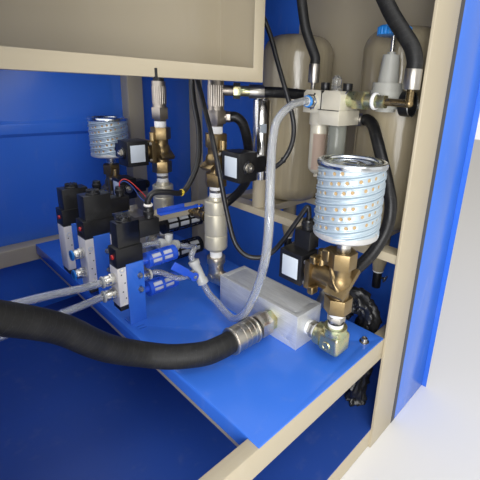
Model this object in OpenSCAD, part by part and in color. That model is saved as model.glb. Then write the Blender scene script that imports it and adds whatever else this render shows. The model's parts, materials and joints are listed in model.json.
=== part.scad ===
// Base cabinet of a semi-automatic blow moulding machine, with its open air bay.
// Millimetres. X runs across the front, Y runs to the back, Z is up.
// The origin lies on the floor, under the middle of the cabinet.

/* [Cabinet] */
// Width of the cabinet
cab_w = 840; // [840:10:1000]
// Depth of the cabinet
cab_d = 846; // [846:10:1000]
// How far the outer sheets stand proud of the post
panel_lip = 9; // [4:1:12]
// Height of the cabinet
cab_h = 900; // [880:10:1100]
// Side of the square frame tube
tube = 40; // [36:1:44]
// Wall of the frame tube
tube_wall = 3; // [2:0.5:5]
// Width of the flat post beside the bay
post_w = 80; // [60:2:90]
// Thickness of the flat post
post_t = 5; // [4:1:8]
// Depth of the front rail's tube
rail_d = 20; // [16:1:30]
// Width of the closed part beside the bay, post included
vessel_bay_w = 233; // [225:1:240]
// Thickness of the cover sheets
sheet = 2; // [1.5:0.5:3]
// Width of the rubber strip beside the post
gasket_w = 15; // [10:1:20]

/* [Valve tray] */
// Height of the tray's top face
tray_z = 240; // [220:5:260]
// Width of the tray
tray_w = 295; // [285:1:300]
// Thickness of the tray sheet
tray_t = 2.5; // [2:0.5:4]
// Depth of the tray's folded lips
tray_lip = 22; // [15:1:30]

/* [Air vessels] */
// Diameter of a vessel
vessel_d = 150; // [140:1:152]
// Height of a vessel over its domes
vessel_h = 352; // [320:4:380]
// Corner radius of the domed ends
dome_r = 38; // [25:1:50]
// Distance between the two vessels
vessel_pitch = 247; // [235:1:260]
// Height of the cradle's top face
cradle_z = 390; // [385:5:400]
// Width of the cradle bars
bar_w = 30; // [25:1:34]
// Height of the cradle bars
bar_h = 15; // [12:1:18]

/* [Valve lines] */
// Side of the square manifold block
block_s = 60; // [56:1:64]
// Length of the front manifold block
block_len = 188; // [170:2:190]
// Distance from a block's end to the valve axis
elbow_reach = 50; // [46:1:54]
// Distance of the valve lines from the post
line_inset = 105; // [100:1:110]
// Height of a brass valve between its pipe ends
valve_len = 96; // [90:1:100]
// Width across flats of the valve's hexagons
valve_af = 36; // [32:1:38]
// Diameter of the silencer's perforated body
silencer_d = 88; // [80:1:92]
// Height of the front silencer
silencer_h = 114; // [100:1:116]
// Diameter of the check valve bodies
check_d = 44; // [38:1:48]
// Length of the check valve bodies
check_h = 110; // [100:1:112]

/* [Spool valves] */
// Thickness of the front spool valve
spool_small_t = 27; // [24:1:30]
// Thickness of the two larger spool valves
spool_large_t = 34; // [30:1:36]
// Travel of the red override buttons
button_travel = 1.5; // [1:0.1:2]

/* [Air preparation] */
// Width of an air preparation module
module_w = 36; // [32:1:38]
// Depth of an air preparation module
module_d = 50; // [44:1:54]
// Diameter of the bowls
bowl_d = 30; // [26:1:32]
// Diameter of the regulator's blue hand knob
hand_knob_d = 50; // [40:1:54]

/* [Hidden] */
$fn = 48;

outer_y = -cab_d / 2;
front_y = outer_y + panel_lip;
back_y = cab_d / 2;
left_x = -cab_w / 2;
right_x = cab_w / 2;
bay_x = right_x - vessel_bay_w;
eps = 0.01;
seat = 0.3;

frame_y = front_y + post_t;
rail_z = tray_z - tray_t;
top_z = cab_h - sheet;
post_back = left_x + sheet + tube;

line_x = bay_x - line_inset;
front_line_y = front_y + 38;
block_y = front_line_y + elbow_reach;
middle_line_y = block_y + block_len + elbow_reach;
inner_line_y = middle_line_y + 187;
rear_line_x = line_x - 14;
rear_line_y = inner_line_y + 220;
rear_block_y = inner_line_y + elbow_reach;
rear_block_len = rear_line_y - elbow_reach - rear_block_y;
rear_block_x = line_x - 7;
axis_z = tray_z + block_s / 2;

// Heights along the valve lines, counted up from the blocks' axis.
pipe_d = 20;
leg_d = 30;
collar_d = 36;
joint_h = 9;
elbow_top = axis_z + 27;
front_valve_z = elbow_top + 3 * joint_h;
tall_elbow_top = axis_z + 42;
inner_drop = 8;
check_z = tall_elbow_top + 13;
check_top = check_z + check_h;
upper_valve_z = check_top + 22;
upper_valve_top = upper_valve_z + valve_len;
rear_elbow_top = axis_z + 38;
rear_valve_z = rear_elbow_top + 3 * joint_h;
silencer_gap = 17;
rim_over = 6;
rear_silencer_h = silencer_h - 14;
coil_w = 40;
coil_h = 50;
front_coil_off = 58;
coil_off = 42;

vessel_x = bay_x + 133;
front_vessel_y = front_y + 97;
rear_vessel_y = front_vessel_y + vessel_pitch;
inner_bar_x = bay_x + 3;
cross_y = middle_line_y + 92;

spool_x = bay_x - 303;
spool_y = [front_y + 328, front_y + 450, front_y + 554];
spool_t = [spool_small_t, spool_large_t, spool_large_t];
spool_d = [45, 56, 56];
spool_z = [tray_z + 30, tray_z + 12, tray_z + 12];
spool_top = [tray_z + 108, tray_z + 120, tray_z + 115];
spool_coil_h = [49, 45, 40];
cap_h = 33;
foot_h = 9;
port_gap = [26, 39, 39];
button_d = 8;
button_len = 9;
button_gap = 0.05;
bracket_t = 3;

box_x0 = post_back;
box_x1 = bay_x - 148;
box_y0 = front_y + 168;
box_y1 = box_y0 + 92;
box_z = tray_z + 403;
box_lip = 18;
box_t = 2;

mod_x = bay_x - 32;
oiler_y = front_y + 115;
filter_y = oiler_y + module_w + 1;
mod_z = tray_z + 360;
mod_top = mod_z + 36;
port_z = tray_z + 384;
bowl_len = 85;
reg_x = bay_x + 31;
reg_y = front_y + 73;
reg_z = tray_z + 368;
knob_z = reg_z + 111;

// How far the bay, the cradle, the left wall, the top and the floor under the bay stand
// from the places that the cords' routes are drawn for.
bay_at = [bay_x - 187, front_y + 414, tray_z - 240];
cradle_at = [bay_at[0], bay_at[1], cradle_z - 390];
wall_at = [left_x + 420, bay_at[1], bay_at[2]];
top_at = [bay_at[0], bay_at[1], cab_h - 900];
floor_at = [bay_at[0], bay_at[1], tube + sheet - 42];

function unit(v) = v / norm(v);
// A route whose two ends follow the pieces that hold them.
function held(p, a, b) = let (m = len(p) - 1)
    [for (i = [0 : m]) let (s = min(1, max(0, (i - 1) / (m - 2)))) p[i] + (1 - s) * a + s * b];
function carried(n, t) = unit(n - (n * t) * t);
function curve_point(a, b, c, d, s) =
    0.5 * (2 * b + (c - a) * s + (2 * a - 5 * b + 4 * c - d) * s * s + (3 * b - a - 3 * c + d) * s * s * s);
function smooth_route(p, n) = let (m = len(p) - 1)
    concat([for (i = [0 : m - 1]) for (k = [0 : n - 1])
        curve_point(p[max(i - 1, 0)], p[i], p[i + 1], p[min(i + 2, m)], k / n)], [p[m]]);
function directions(p, first, last) = concat([unit(first)],
    [for (i = [1 : len(p) - 2]) unit(p[i + 1] - p[i - 1])], [unit(last)]);
function first_normal(t) = carried(abs(t[2]) < 0.8 ? [0, 0, 1] : [0, 1, 0], t);
function normals(t, i = 0, n = undef) = let (now = i == 0 ? first_normal(t[0]) : carried(n, t[i]))
    i == len(t) - 1 ? [now] : concat([now], normals(t, i + 1, now));

// A round cord swept along a route.
module cord(route, d, per_span = 2, sides = 8) {
    p = smooth_route(route, per_span);
    e = len(route) - 1;
    t = directions(p, route[1] - route[0], route[e] - route[e - 1]);
    n = normals(t);
    m = len(p);
    rings = [for (i = [0 : m - 1]) for (k = [0 : sides - 1]) let (a = 360 * k / sides)
        p[i] + d / 2 * (cos(a) * n[i] + sin(a) * cross(t[i], n[i]))];
    walls = [for (i = [0 : m - 2]) for (k = [0 : sides - 1]) let (q = (k + 1) % sides)
        [i * sides + q, i * sides + k, (i + 1) * sides + k, (i + 1) * sides + q]];
    first_end = [for (k = [0 : sides - 1]) k];
    last_end = [for (k = [sides - 1 : -1 : 0]) (m - 1) * sides + k];
    polyhedron(points = rings, faces = concat(walls, [first_end], [last_end]), convexity = 6);
}

// A box between two corners.
module block(a, b) {
    translate(a) cube(b - a);
}

// Cylinders lying along X or Y, starting at the given point.
module rod_x(p, d, l, sides = 48) {
    translate(p) rotate([0, 90, 0]) cylinder(d = d, h = l, $fn = sides);
}
module rod_y(p, d, l, sides = 48) {
    translate(p) rotate([-90, 0, 0]) cylinder(d = d, h = l, $fn = sides);
}
module rod_z(p, d, l, sides = 48) {
    translate(p) cylinder(d = d, h = l, $fn = sides);
}
function across(af) = af / cos(30);

// Square tube along X, Y or Z, from corner a to corner b, open at its ends.
module tube_x(a, b) {
    difference() {
        block(a, b);
        block([a[0] - 1, a[1] + tube_wall, a[2] + tube_wall], [b[0] + 1, b[1] - tube_wall, b[2] - tube_wall]);
    }
}
module tube_y(a, b) {
    difference() {
        block(a, b);
        block([a[0] + tube_wall, a[1] - 1, a[2] + tube_wall], [b[0] - tube_wall, b[1] + 1, b[2] - tube_wall]);
    }
}
module tube_z(a, b) {
    difference() {
        block(a, b);
        block([a[0] + tube_wall, a[1] + tube_wall, a[2] - 1], [b[0] - tube_wall, b[1] - tube_wall, b[2] + 1]);
    }
}

// Welded frame: corner posts, upper and lower rails and the flat post beside the bay.
module base_frame() {
    x0 = left_x + sheet;
    x1 = right_x - sheet;
    y1 = back_y - sheet;
    color("#cfc6a4") {
        for (x = [x0, x1 - tube]) {
            for (y = [frame_y, y1 - tube]) tube_z([x, y, 0], [x + tube, y + tube, top_z]);
            for (z = [0, top_z - tube]) tube_y([x, frame_y + tube, z], [x + tube, y1 - tube, z + tube]);
        }
        for (y = [frame_y, y1 - tube]) for (z = [0, top_z - tube])
            tube_x([x0 + tube, y, z], [x1 - tube, y + tube, z + tube]);
        block([bay_x, front_y, 0], [bay_x + post_w, frame_y, top_z]);
        tube_z([bay_x - 30, y1 - tube, rail_z], [bay_x + 13, y1, top_z - tube]);
    }
}

// Rails between the posts that carry the tray.
module tray_rails() {
    x0 = left_x + sheet;
    x1 = right_x - sheet;
    y1 = back_y - sheet;
    color("#cfc6a4") {
        tube_x([x0 + tube, frame_y, rail_z - tube], [x1 - tube, frame_y + rail_d, rail_z]);
        tube_x([x0 + tube, y1 - tube, rail_z - tube], [x1 - tube, y1, rail_z]);
        for (x = [bay_x - tube - 10, tray_x0 + tray_t + 4])
            tube_y([x, frame_y + rail_d, rail_z - tube], [x + tube, y1 - tube, rail_z]);
    }
}

// Cradle of flat tube for the two air vessels, with a cross rail that ends behind the spool valves.
module vessel_cradle() {
    z0 = cradle_z - bar_h;
    x1 = right_x - sheet;
    color("#cfc6a4") difference() {
        union() {
            block([inner_bar_x, frame_y, z0], [inner_bar_x + bar_w, cross_y + bar_w, cradle_z]);
            block([x1 - tube - bar_w, frame_y + tube, z0], [x1 - tube, cross_y + bar_w, cradle_z]);
            block([rail_x0, cross_y, z0], [x1, cross_y + bar_w, cradle_z]);
            block([rail_x0, cross_y + bar_w / 2, tray_z], [rail_x0 + bar_h, cross_y + bar_w, z0 + eps]);
            for (y = [front_vessel_y, rear_vessel_y])
                block([inner_bar_x + bar_w, y - 26, z0], [x1 - tube - bar_w, y + 26, cradle_z]);
        }
        for (y = [front_vessel_y, rear_vessel_y]) rod_z([vessel_x, y, z0 - 1], neck_d + 6, bar_h + 2);
    }
}
neck_d = 32;
rail_x0 = bay_x - 211;

// Back sheet with a folded stiffening band on its left part.
band_h = 38;
band_t = 8;
module back_panel() {
    y1 = back_y - sheet;
    band_z = tray_z + 257;
    color("#1d3f9e") {
        block([left_x + sheet, y1, 0], [right_x - sheet, back_y, top_z]);
        translate([post_back, y1, band_z]) rotate([90, 0, 90]) linear_extrude(bay_x - 32 - post_back)
            polygon([[0, 0], [-band_t, band_t], [-band_t, band_h - band_t], [0, band_h],
                [0, band_h - 3], [2 - band_t, band_h - band_t - 1], [2 - band_t, band_t + 1], [0, 3]]);
    }
}

module side_panels() {
    color("#1d3f9e") for (x = [left_x, right_x - sheet])
        block([x, outer_y, 0], [x + sheet, back_y, top_z]);
}

module liner_panel() {
    color("#cfc6a4") block([right_x - 20, frame_y + tube, cradle_z],
        [right_x - 18, back_y - sheet - tube, top_z - tube]);
}

// Floor sheet on the lower rails and top sheet on the posts.
module level_sheets() {
    x1 = right_x - sheet;
    y1 = back_y - sheet;
    color("#14306f") difference() {
        block([left_x + sheet, frame_y, tube], [x1, y1, tube + sheet]);
        for (x = [left_x + sheet, x1 - tube]) for (y = [frame_y, y1 - tube])
            block([x - 1, y - 1, tube - 1], [x + tube + eps, y + tube + eps, tube + sheet + 1]);
    }
    color("#1f5fe0") block([left_x, outer_y, top_z], [right_x, back_y, cab_h]);
}

// Folded cover right of the post, with its edges turned back to the frame.
module front_panel() {
    x0 = bay_x + post_w + gasket_w;
    x1 = right_x - sheet;
    color("#1f5fe0") difference() {
        block([x0, front_y, 0], [x1, frame_y, top_z]);
        block([x0 + sheet, front_y + sheet, sheet], [x1 - sheet, frame_y + 1, top_z - sheet]);
    }
}

module door_gasket() {
    x0 = bay_x + post_w;
    color("#3a3a3c") difference() {
        block([x0, front_y, 0], [x0 + gasket_w, frame_y, top_z]);
        rod_z([x0 + gasket_w / 2, frame_y, -1], post_t, top_z + 2);
    }
}

// Folded sheet that carries the valves, with screw holes and slots.
tray_x0 = bay_x - tray_w - 2;
tray_x1 = bay_x - 2;
tray_y1 = back_y - sheet - tube - 2;
screw_at = [bay_x - 35, front_y + 23];
module valve_tray() {
    color("#1f5fe0") difference() {
        union() {
            block([tray_x0, frame_y, rail_z], [tray_x1, tray_y1, tray_z]);
            block([tray_x0, frame_y + rail_d + 1, rail_z - tray_lip], [tray_x0 + tray_t, tray_y1, rail_z + eps]);
        }
        for (y = [0, 8]) block([tray_x0 + 12, spool_y[0] - 24 + y, rail_z - 1],
            [tray_x0 + 26, spool_y[0] - 22 + y, tray_z + 1]);
        rod_z([screw_at[0], screw_at[1], rail_z - 1], 7, tray_t + 2);
    }
}

// Socket head screw with washer, pointing down from its seat.
module tray_screw() {
    difference() {
        union() {
            rod_z([0, 0, 0], 16, 1.5);
            rod_z([0, 0, 1.5], 10, 6);
        }
        rod_z([0, 0, 4], across(5), 4, 6);
    }
}

module fasteners() {
    color("#8d9094") {
        translate([screw_at[0], screw_at[1], tray_z]) tray_screw();
        for (i = [0 : 2]) for (z = [0, port_gap[i]])
            translate([spool_x + 36, spool_y[i] - bracket_t, spool_mid(i) - port_gap[i] / 2 + z])
                rotate([90, 0, 0]) bracket_screw();
        at_each_valve() bonnet_bolts();
        block([rail_x0 - 32, cross_y, cradle_z], [rail_x0 + 24, cross_y + 50, cradle_z + 1.5]);
        block([rail_x0 + 1, cross_y + 48.5, cradle_z], [rail_x0 + 20, cross_y + 50, cradle_z + 12]);
    }
}
function spool_mid(i) = (spool_z[i] + foot_h + spool_top[i]) / 2;

module bracket_screw() {
    rod_z([0, 0, 0], 9, 1);
    difference() {
        rod_z([0, 0, 1], 7, 4);
        rod_z([0, 0, 3], across(3.5), 3, 6);
    }
}

module bonnet_bolts() {
    for (x = [-1, 1]) for (z = [-1, 1])
        rod_y([x * bolt_at, $reach - armature_h, valve_len / 2 + z * bolt_at], across(6), 4, 6);
}
bolt_at = 17;
armature_h = 8;

// Open sheet box for the wiring, hung under the top panel.
module electrical_box() {
    y0 = box_y0;
    color("#cfc6a4") {
        difference() {
            block([box_x0, y0, box_z], [box_x1, box_y1, top_z]);
            block([box_x0 - 1, y0 - 1, box_z + box_t], [box_x1 - box_t, box_y1 - box_t, top_z + 1]);
        }
        block([box_x0, y0, box_z + box_t - eps], [box_x1, y0 + box_t, box_z + box_lip]);
        block([box_x1 - box_lip, y0, box_z + box_lip - eps], [box_x1 - box_t + eps, y0 + box_t, top_z]);
    }
}

// Vessel with dished ends, a neck below and, on the front one, a side nozzle.
module vessel() {
    r = vessel_d / 2;
    rod_z([0, 0, dome_r], vessel_d, vessel_h - 2 * dome_r, 96);
    rod_z([0, 0, 0], vessel_d - 2 * dome_r, vessel_h, 96);
    for (z = [dome_r, vessel_h - dome_r]) translate([0, 0, z])
        rotate_extrude($fn = 96) intersection() {
            translate([r - dome_r, 0]) circle(r = dome_r, $fn = 64);
            translate([0, -dome_r]) square([r, 2 * dome_r]);
        }
    rotate_extrude() polygon([[0, 1], [neck_d / 2, 1], [neck_d / 2, -neck_h + 22],
        [neck_d / 2 - 3, -neck_h + 10], [11, -neck_h], [0, -neck_h]]);
}
neck_h = 102;
nozzle_turn = 125;
nozzle_len = 16;

module air_vessels() {
    color("#cfc6a4") {
        for (y = [front_vessel_y, rear_vessel_y]) translate([vessel_x, y, cradle_z]) vessel();
        translate([vessel_x, front_vessel_y, port_z - 2]) rotate([0, 0, nozzle_turn])
            rod_x([vessel_d / 2 - 6, 0, 0], 24, nozzle_len + 6);
    }
}

module vessel_drains() {
    for (y = [front_vessel_y, rear_vessel_y]) translate([vessel_x, y, cradle_z - neck_h]) {
        color("#2a2b2d") difference() {
            rod_z([0, 0, -38], 18, 38);
            rod_z([0, 0, -39], 13, 12);
        }
        color("#b9bcc0") rod_y([0, -19, -14], 5, 10.5);
    }
}

// Square bar with a through bore, side ports and flush plugs.
module manifold(len, ports) {
    difference() {
        block([-block_s / 2, 0, 0], [block_s / 2, len, block_s]);
        rod_y([0, -1, block_s / 2], pipe_d, len + 2);
        for (p = ports) rod_x([p[0] * block_s / 2 - 15, p[1], block_s / 2], pipe_d, 30);
        for (x = [-1, 1]) for (y = [12, len - 12])
            rod_z([x * (block_s / 2 - 9), y, block_s - 1], 6, 2);
        for (k = [0 : 2]) rod_x([-block_s / 2 - 1, 14 + 7 * k, 9 + 2 * k], 2.5, 4);
    }
    for (x = [-1, 1]) for (y = [12, len - 12])
        rod_z([x * (block_s / 2 - 9), y, block_s - 1.5], 6, 1.2);
}
hose_port_y = 56;
loop_port_y = 24;

module manifold_blocks() {
    color("#b4b8bd") {
        translate([line_x, block_y, tray_z]) manifold(block_len, [[-1, hose_port_y], [1, loop_port_y]]);
        translate([rear_block_x, rear_block_y, tray_z]) manifold(rear_block_len, []);
    }
}

// Silencer: perforated drum whose holes climb in one helix, groups of three, between two caps.
hole_d = 5;
cap_t = 8;
wall_t = 2.5;
module silencer(h) {
    r = silencer_d / 2;
    z0 = cap_t + 1;
    pitch = (h - 2 * z0 - wide_gap) / windings;
    groups = floor((windings - 1) * 360 / group_turn);
    difference() {
        union() {
            rod_z([0, 0, cap_t - 1], silencer_d, h - 2 * cap_t + 2, 96);
            rod_z([0, 0, 0], silencer_d + 2, cap_t, 96);
            rod_z([0, 0, h - cap_t], silencer_d + rim_over, cap_t - 2, 96);
            rod_z([0, 0, h - 3], silencer_d + rim_over - 4, 3, 96);
        }
        rod_z([0, 0, h - 5], silencer_d - 14, 6, 96);
        for (g = [0 : groups - 1]) for (j = [0 : 2]) let (a = group_turn * g + hole_turn * j)
            rotate([0, 0, a - 90])
                rod_x([r - wall_t, 0, z0 + pitch / 2 + winding_z(a, pitch)], hole_d, wall_t + 1);
        rod_z([0, 0, -1], pipe_d, 12);
    }
    rod_z([0, 0, h - 6], 18, 4);
    seam(r, z0, pitch);
}

// The strip is wound seven times, and its middle winding is wider by a gap.
windings = 7;
wide_gap = 6.5;
group_turn = 47.8;
hole_turn = 13.7;
function ease(s) = let (t = min(1, max(0, s))) t * t * (3 - 2 * t);
function winding_z(a, pitch) = pitch * a / 360 + wide_gap * ease((a - 1080) / 180);

// Folded seam between the windings.
module seam(r, z0, pitch) {
    steps = 20;
    edge = [[r - 1.5, -1.7], [r + 0.8, -0.9], [r + 0.8, 0.9], [r - 1.5, 1.7]];
    m = windings * steps;
    rings = [for (i = [0 : m]) for (e = edge) let (a = 360 * i / steps)
        [e[0] * sin(a), -e[0] * cos(a), z0 + winding_z(a, pitch) + e[1]]];
    walls = [for (i = [0 : m - 1]) for (k = [0 : 3]) let (q = (k + 1) % 4)
        [i * 4 + q, i * 4 + k, (i + 1) * 4 + k, (i + 1) * 4 + q]];
    last = [for (k = [3 : -1 : 0]) m * 4 + k];
    polyhedron(points = rings, faces = concat(walls, [[0, 1, 2, 3]], [last]), convexity = 10);
}

module silencers() {
    color("#b7cbd8") {
        translate([line_x, front_line_y, front_valve_z + valve_len + silencer_gap]) silencer(silencer_h);
        translate([rear_line_x, rear_line_y, rear_valve_z + valve_len + silencer_gap])
            silencer(rear_silencer_h);
    }
}

// Places its children at the four valves, turned so that +Y points to the coil.
module at_each_valve() {
    $reach = front_coil_off;
    $side = 0;
    translate([line_x, front_line_y, front_valve_z]) children();
    at_far_valves() children();
}
module at_far_valves() {
    $reach = coil_off;
    $side = 1;
    translate([line_x, middle_line_y, upper_valve_z]) mirror([0, 1, 0]) children();
    translate([line_x, inner_line_y, upper_valve_z - inner_drop]) rotate([0, 0, 90]) children();
    translate([rear_line_x, rear_line_y, rear_valve_z]) mirror([0, 1, 0]) children();
}

// Brass casting: two hexagon ends, a waisted barrel with webs and a bolted bonnet toward the coil.
module pilot_valve() {
    mid = valve_len / 2;
    slab_y = $reach - armature_h - 9;
    difference() {
        union() {
            rod_z([0, 0, 0], across(valve_af), hex_h, 6);
            rod_z([0, 0, valve_len - hex_h], across(valve_af), hex_h, 6);
            rod_z([0, 0, hex_h - 1], valve_af - 6, valve_len - 2 * hex_h + 2);
            translate([0, 0, mid]) sphere(d = valve_af + 2);
            rod_y([0, 0, mid], valve_af - 4, slab_y + 1);
            for (z = [-1, 1]) block([-3, 4, mid + z * 20 - 3], [3, slab_y + 1, mid + z * 20 + 3]);
            translate([0, 0, mid]) rotate([0, -38, 0]) block([-26, -19, -4], [26, 12, 4]);
            block([-bonnet_w / 2, slab_y, mid - bonnet_w / 2], [bonnet_w / 2, slab_y + 9, mid + bonnet_w / 2]);
            rod_z([0, slab_y - 6, mid + 12], 14, mid - 22);
        }
        rod_z([0, 0, -1], pipe_d - 4, valve_len + 2);
    }
    rod_y([0, slab_y + 9 - eps, mid], 26, armature_h + eps);
}
hex_h = 24;
bonnet_w = 44;

module pilot_valves() {
    color("#b08d4c") at_each_valve() pilot_valve();
}

// Black coil with a plain white plate, an end nut and its plug with a cable gland.
module valve_coil() {
    mid = valve_len / 2;
    y0 = $reach;
    y1 = $reach + coil_len;
    color("#26272a") {
        block([-coil_w / 2, y0, mid - coil_h / 2], [coil_w / 2, y1, mid + coil_h / 2]);
        rod_y([0, y1, mid], 18, 4);
        if ($side == 0) {
            block([4, y0 + 6, mid + coil_h / 2], [28, y1 - 8, mid + coil_h / 2 + 30]);
            rod_z([16, y0 + 20, mid + coil_h / 2 + 30], 18, 16);
        } else {
            block([coil_w / 2, y0 + 8, mid - 14], [coil_w / 2 + 30, y1 - 8, mid + 14]);
            rod_x([coil_w / 2 + 30, (y0 + y1) / 2, mid], 18, 14);
        }
    }
    color("#e9eaec") block([-coil_w / 2 - 0.4, y0 + 7, mid - 17], [-coil_w / 2, y1 - 6, mid + 17]);
}
coil_len = 44;

module valve_coils() {
    at_each_valve() valve_coil();
}

// Turned check valve body with chamfered ends and grooves.
module check_valve() {
    r = check_d / 2;
    rotate_extrude($fn = 96) polygon([[0, 0], [r - 8, 0], [r - 7, 4], [r - 2, 5], [r, 8], [r, 33],
        [r - 1, 34], [r - 1, 36], [r, 37], [r, check_h - 34], [r - 1, check_h - 33],
        [r - 1, check_h - 31], [r, check_h - 30], [r, check_h - 8], [r - 2, check_h - 6],
        [r - 8, check_h - 6], [r - 8, check_h], [0, check_h]]);
}

module check_valves() {
    color("#b9b192") {
        translate([line_x, middle_line_y, check_z]) check_valve();
        translate([line_x, inner_line_y, check_z - inner_drop]) check_valve();
    }
}

// Threaded parts seen between the valves: nipples with a hexagon in the middle.
module nipple(z0, z1, hex_z, h, af = 24) {
    rod_z([0, 0, z0], pipe_d, z1 - z0);
    rod_z([0, 0, hex_z], across(af), h, 6);
}
module line_nipples() {
    color("#9a9088") {
        translate([line_x, front_line_y, 0]) {
            nipple(elbow_top, front_valve_z, elbow_top + joint_h, joint_h);
            rod_z([0, 0, front_valve_z + valve_len], pipe_d + 1, silencer_gap);
        }
        translate([line_x, front_line_y, axis_z]) rotate([-90, 0, 0])
            nipple(elbow_reach - 20, elbow_reach, elbow_reach - 14, 8);
        translate([rear_line_x, rear_line_y, 0]) {
            nipple(rear_elbow_top, rear_valve_z, rear_elbow_top + joint_h, joint_h);
            rod_z([0, 0, rear_valve_z + valve_len], pipe_d + 1, silencer_gap);
        }
        for (p = [[middle_line_y, 0], [inner_line_y, inner_drop]]) translate([line_x, p[0], -p[1]]) {
            rod_z([0, 0, tall_elbow_top], pipe_d, check_z - tall_elbow_top);
            nipple(check_top, upper_valve_z, check_top + 9, 5);
            rod_z([0, 0, upper_valve_top], pipe_d, 13);
        }
    }
}

// White tape wound over the threads, one ring at each joint.
module tape_ring(z0, z1) {
    difference() {
        rod_z([0, 0, z0], pipe_d + 4, z1 - z0);
        rod_z([0, 0, z0 - 1], pipe_d, z1 - z0 + 2);
    }
}
module thread_tape() {
    color("#eeeeea") {
        translate([line_x, front_line_y, 0]) stack_tape(elbow_top, front_valve_z, joint_h);
        translate([rear_line_x, rear_line_y, 0]) stack_tape(rear_elbow_top, rear_valve_z, joint_h);
        translate([line_x, front_line_y, axis_z]) rotate([-90, 0, 0]) {
            tape_ring(elbow_reach - 20, elbow_reach - 14);
            tape_ring(elbow_reach - 6, elbow_reach);
        }
        for (p = [[middle_line_y, 0], [inner_line_y, inner_drop]]) translate([line_x, p[0], -p[1]]) {
            tape_ring(tall_elbow_top, check_z);
            tape_ring(check_top, check_top + 9);
            tape_ring(check_top + 14, upper_valve_z);
            tape_ring(upper_valve_top, upper_valve_top + 13);
        }
    }
}
module stack_tape(z0, z1, h) {
    tape_ring(z0, z0 + h);
    tape_ring(z1 - h, z1);
}

// Forged elbow: a leg up and a leg along +Y, with thick collars and a round boss.
module elbow(up, along) {
    rod_z([0, 0, 0], leg_d, up);
    rod_y([0, 0, 0], leg_d, along);
    sphere(d = leg_d + 3);
    rod_z([0, 0, up - 13], collar_d, 13);
    rod_y([0, along - 13, 0], collar_d, 13);
    rod_x([-leg_d / 2 - 2, 0, 0], 14, leg_d + 4);
}
module line_elbows() {
    color("#8f8a5c") translate([line_x, front_line_y, axis_z]) elbow(elbow_top - axis_z, elbow_reach - 20);
    color("#a08468") {
        translate([line_x, middle_line_y, axis_z]) mirror([0, 1, 0])
            elbow(tall_elbow_top - axis_z, elbow_reach);
        translate([line_x, inner_line_y, axis_z])
            elbow(tall_elbow_top - inner_drop - axis_z, elbow_reach);
        translate([rear_line_x, rear_line_y, axis_z]) mirror([0, 1, 0])
            elbow(rear_elbow_top - axis_z, elbow_reach);
    }
}

// A round bar between two points.
module limb(a, b, d) {
    v = b - a;
    translate(a) rotate([0, acos(v[2] / norm(v)), atan2(v[1], v[0])]) cylinder(d = d, h = norm(v));
}

// Crimped ends, nuts and adapters that join the hoses to the lines, blocks and vessels.
ferrule_d = 28;
ferrule_h = 52;
riser_nut_h = 28;
riser_d = 22;
tee_turn = -38;
tee_len = 84;
hose_d = 34;
module hose_ends() {
    color("#a9aaa6") {
        for (p = [[middle_line_y, 0], [inner_line_y, inner_drop]])
            translate([line_x, p[0], upper_valve_top + 13 - p[1]]) {
                rod_z([0, 0, 0], across(24), 5, 6);
                rod_z([0, 0, 5], across(32), riser_nut_h - 5, 6);
                rod_z([0, 0, riser_nut_h - 1], ferrule_d, ferrule_h + 1);
            }
        translate([line_x, middle_line_y, port_z + 4]) rotate([0, 0, tee_turn]) {
            rod_x([0, 0, 0], 18, tee_len - 24);
            rod_x([30, 0, 0], across(24), 12, 6);
            rod_x([tee_len - 26, 0, 0], 24, 26);
        }
        translate([line_x, middle_line_y, upper_valve_top + 30]) rotate([0, 0, tee_turn - 7]) {
            rod_x([0, 0, 0], 13, 26);
            rod_x([18, 0, 0], across(17), 8, 6);
        }
        translate([vessel_x, front_vessel_y, port_z - 2]) rotate([0, 0, nozzle_turn])
            rod_x([vessel_d / 2 + nozzle_len, 0, 0], 26, 24);
        translate(upper_cock + [12.3, 0, 0]) {
            rod_x([0, 0, 0], 14, 5);
            rod_x([4, 0, 0], across(22), 7, 6);
            rod_x([10, 0, 0], 22, 15);
        }
    }
    color("#b79a3e") translate([line_x - block_s / 2, block_y + hose_port_y, axis_z])
        rotate([0, -90, 0]) {
            rod_z([0, 0, 0], across(30), 12, 6);
            rod_z([0, 0, 12], across(36), 22, 6);
            rod_z([0, 0, 34], 30, 6);
            rod_z([0, 0, 40], hose_d + 6, 48);
        }
    color("#a9aaa6") {
        translate([left_x + sheet, front_y + 184, tray_z + 190]) {
            rod_x([0, 0, 0], across(46), 16, 6);
            rod_x([15, 0, 0], hose_d + 6, 34);
        }
        translate([line_x + block_s / 2, block_y + loop_port_y, axis_z]) {
            rod_x([0, 0, 0], across(22), 8, 6);
            rod_x([0, 0, 0], 16, 20);
            translate([20, 0, 0]) {
                sphere(d = 18);
                rotate([loop_lean, 0, 0]) rod_z([0, 0, 0], 16, 44);
                rotate([loop_lean, 0, 0]) rod_z([0, 0, 40], 22, 32);
            }
        }
        translate([mod_x + module_d + 4, oiler_y + 15, mod_z - 8]) {
            rod_x([0, 0, 0], 16, 12);
            translate([12, 0, 0]) sphere(d = 16);
            rod_y([12, -20, 0], 22, 20);
        }
        translate([mod_x + 13, filter_y + 28, mod_top]) {
            rod_z([0, 0, 0], 7, 12);
            rod_z([0, 0, 11], 18, 29);
        }
        translate([bay_x - 7, supply_y, port_z + 19]) rod_z([0, 0, 0], 24, 27);
    }
}
loop_lean = 25;
supply_y = front_y + 17;

// Head of an air preparation module: a prism with chamfered top corners.
module module_head(h) {
    c = 5;
    w = module_w;
    rotate([90, 0, 90]) linear_extrude(module_d)
        polygon([[0, 0], [w, 0], [w, h - c], [w - c, h], [c, h], [0, h - c]]);
}

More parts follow.
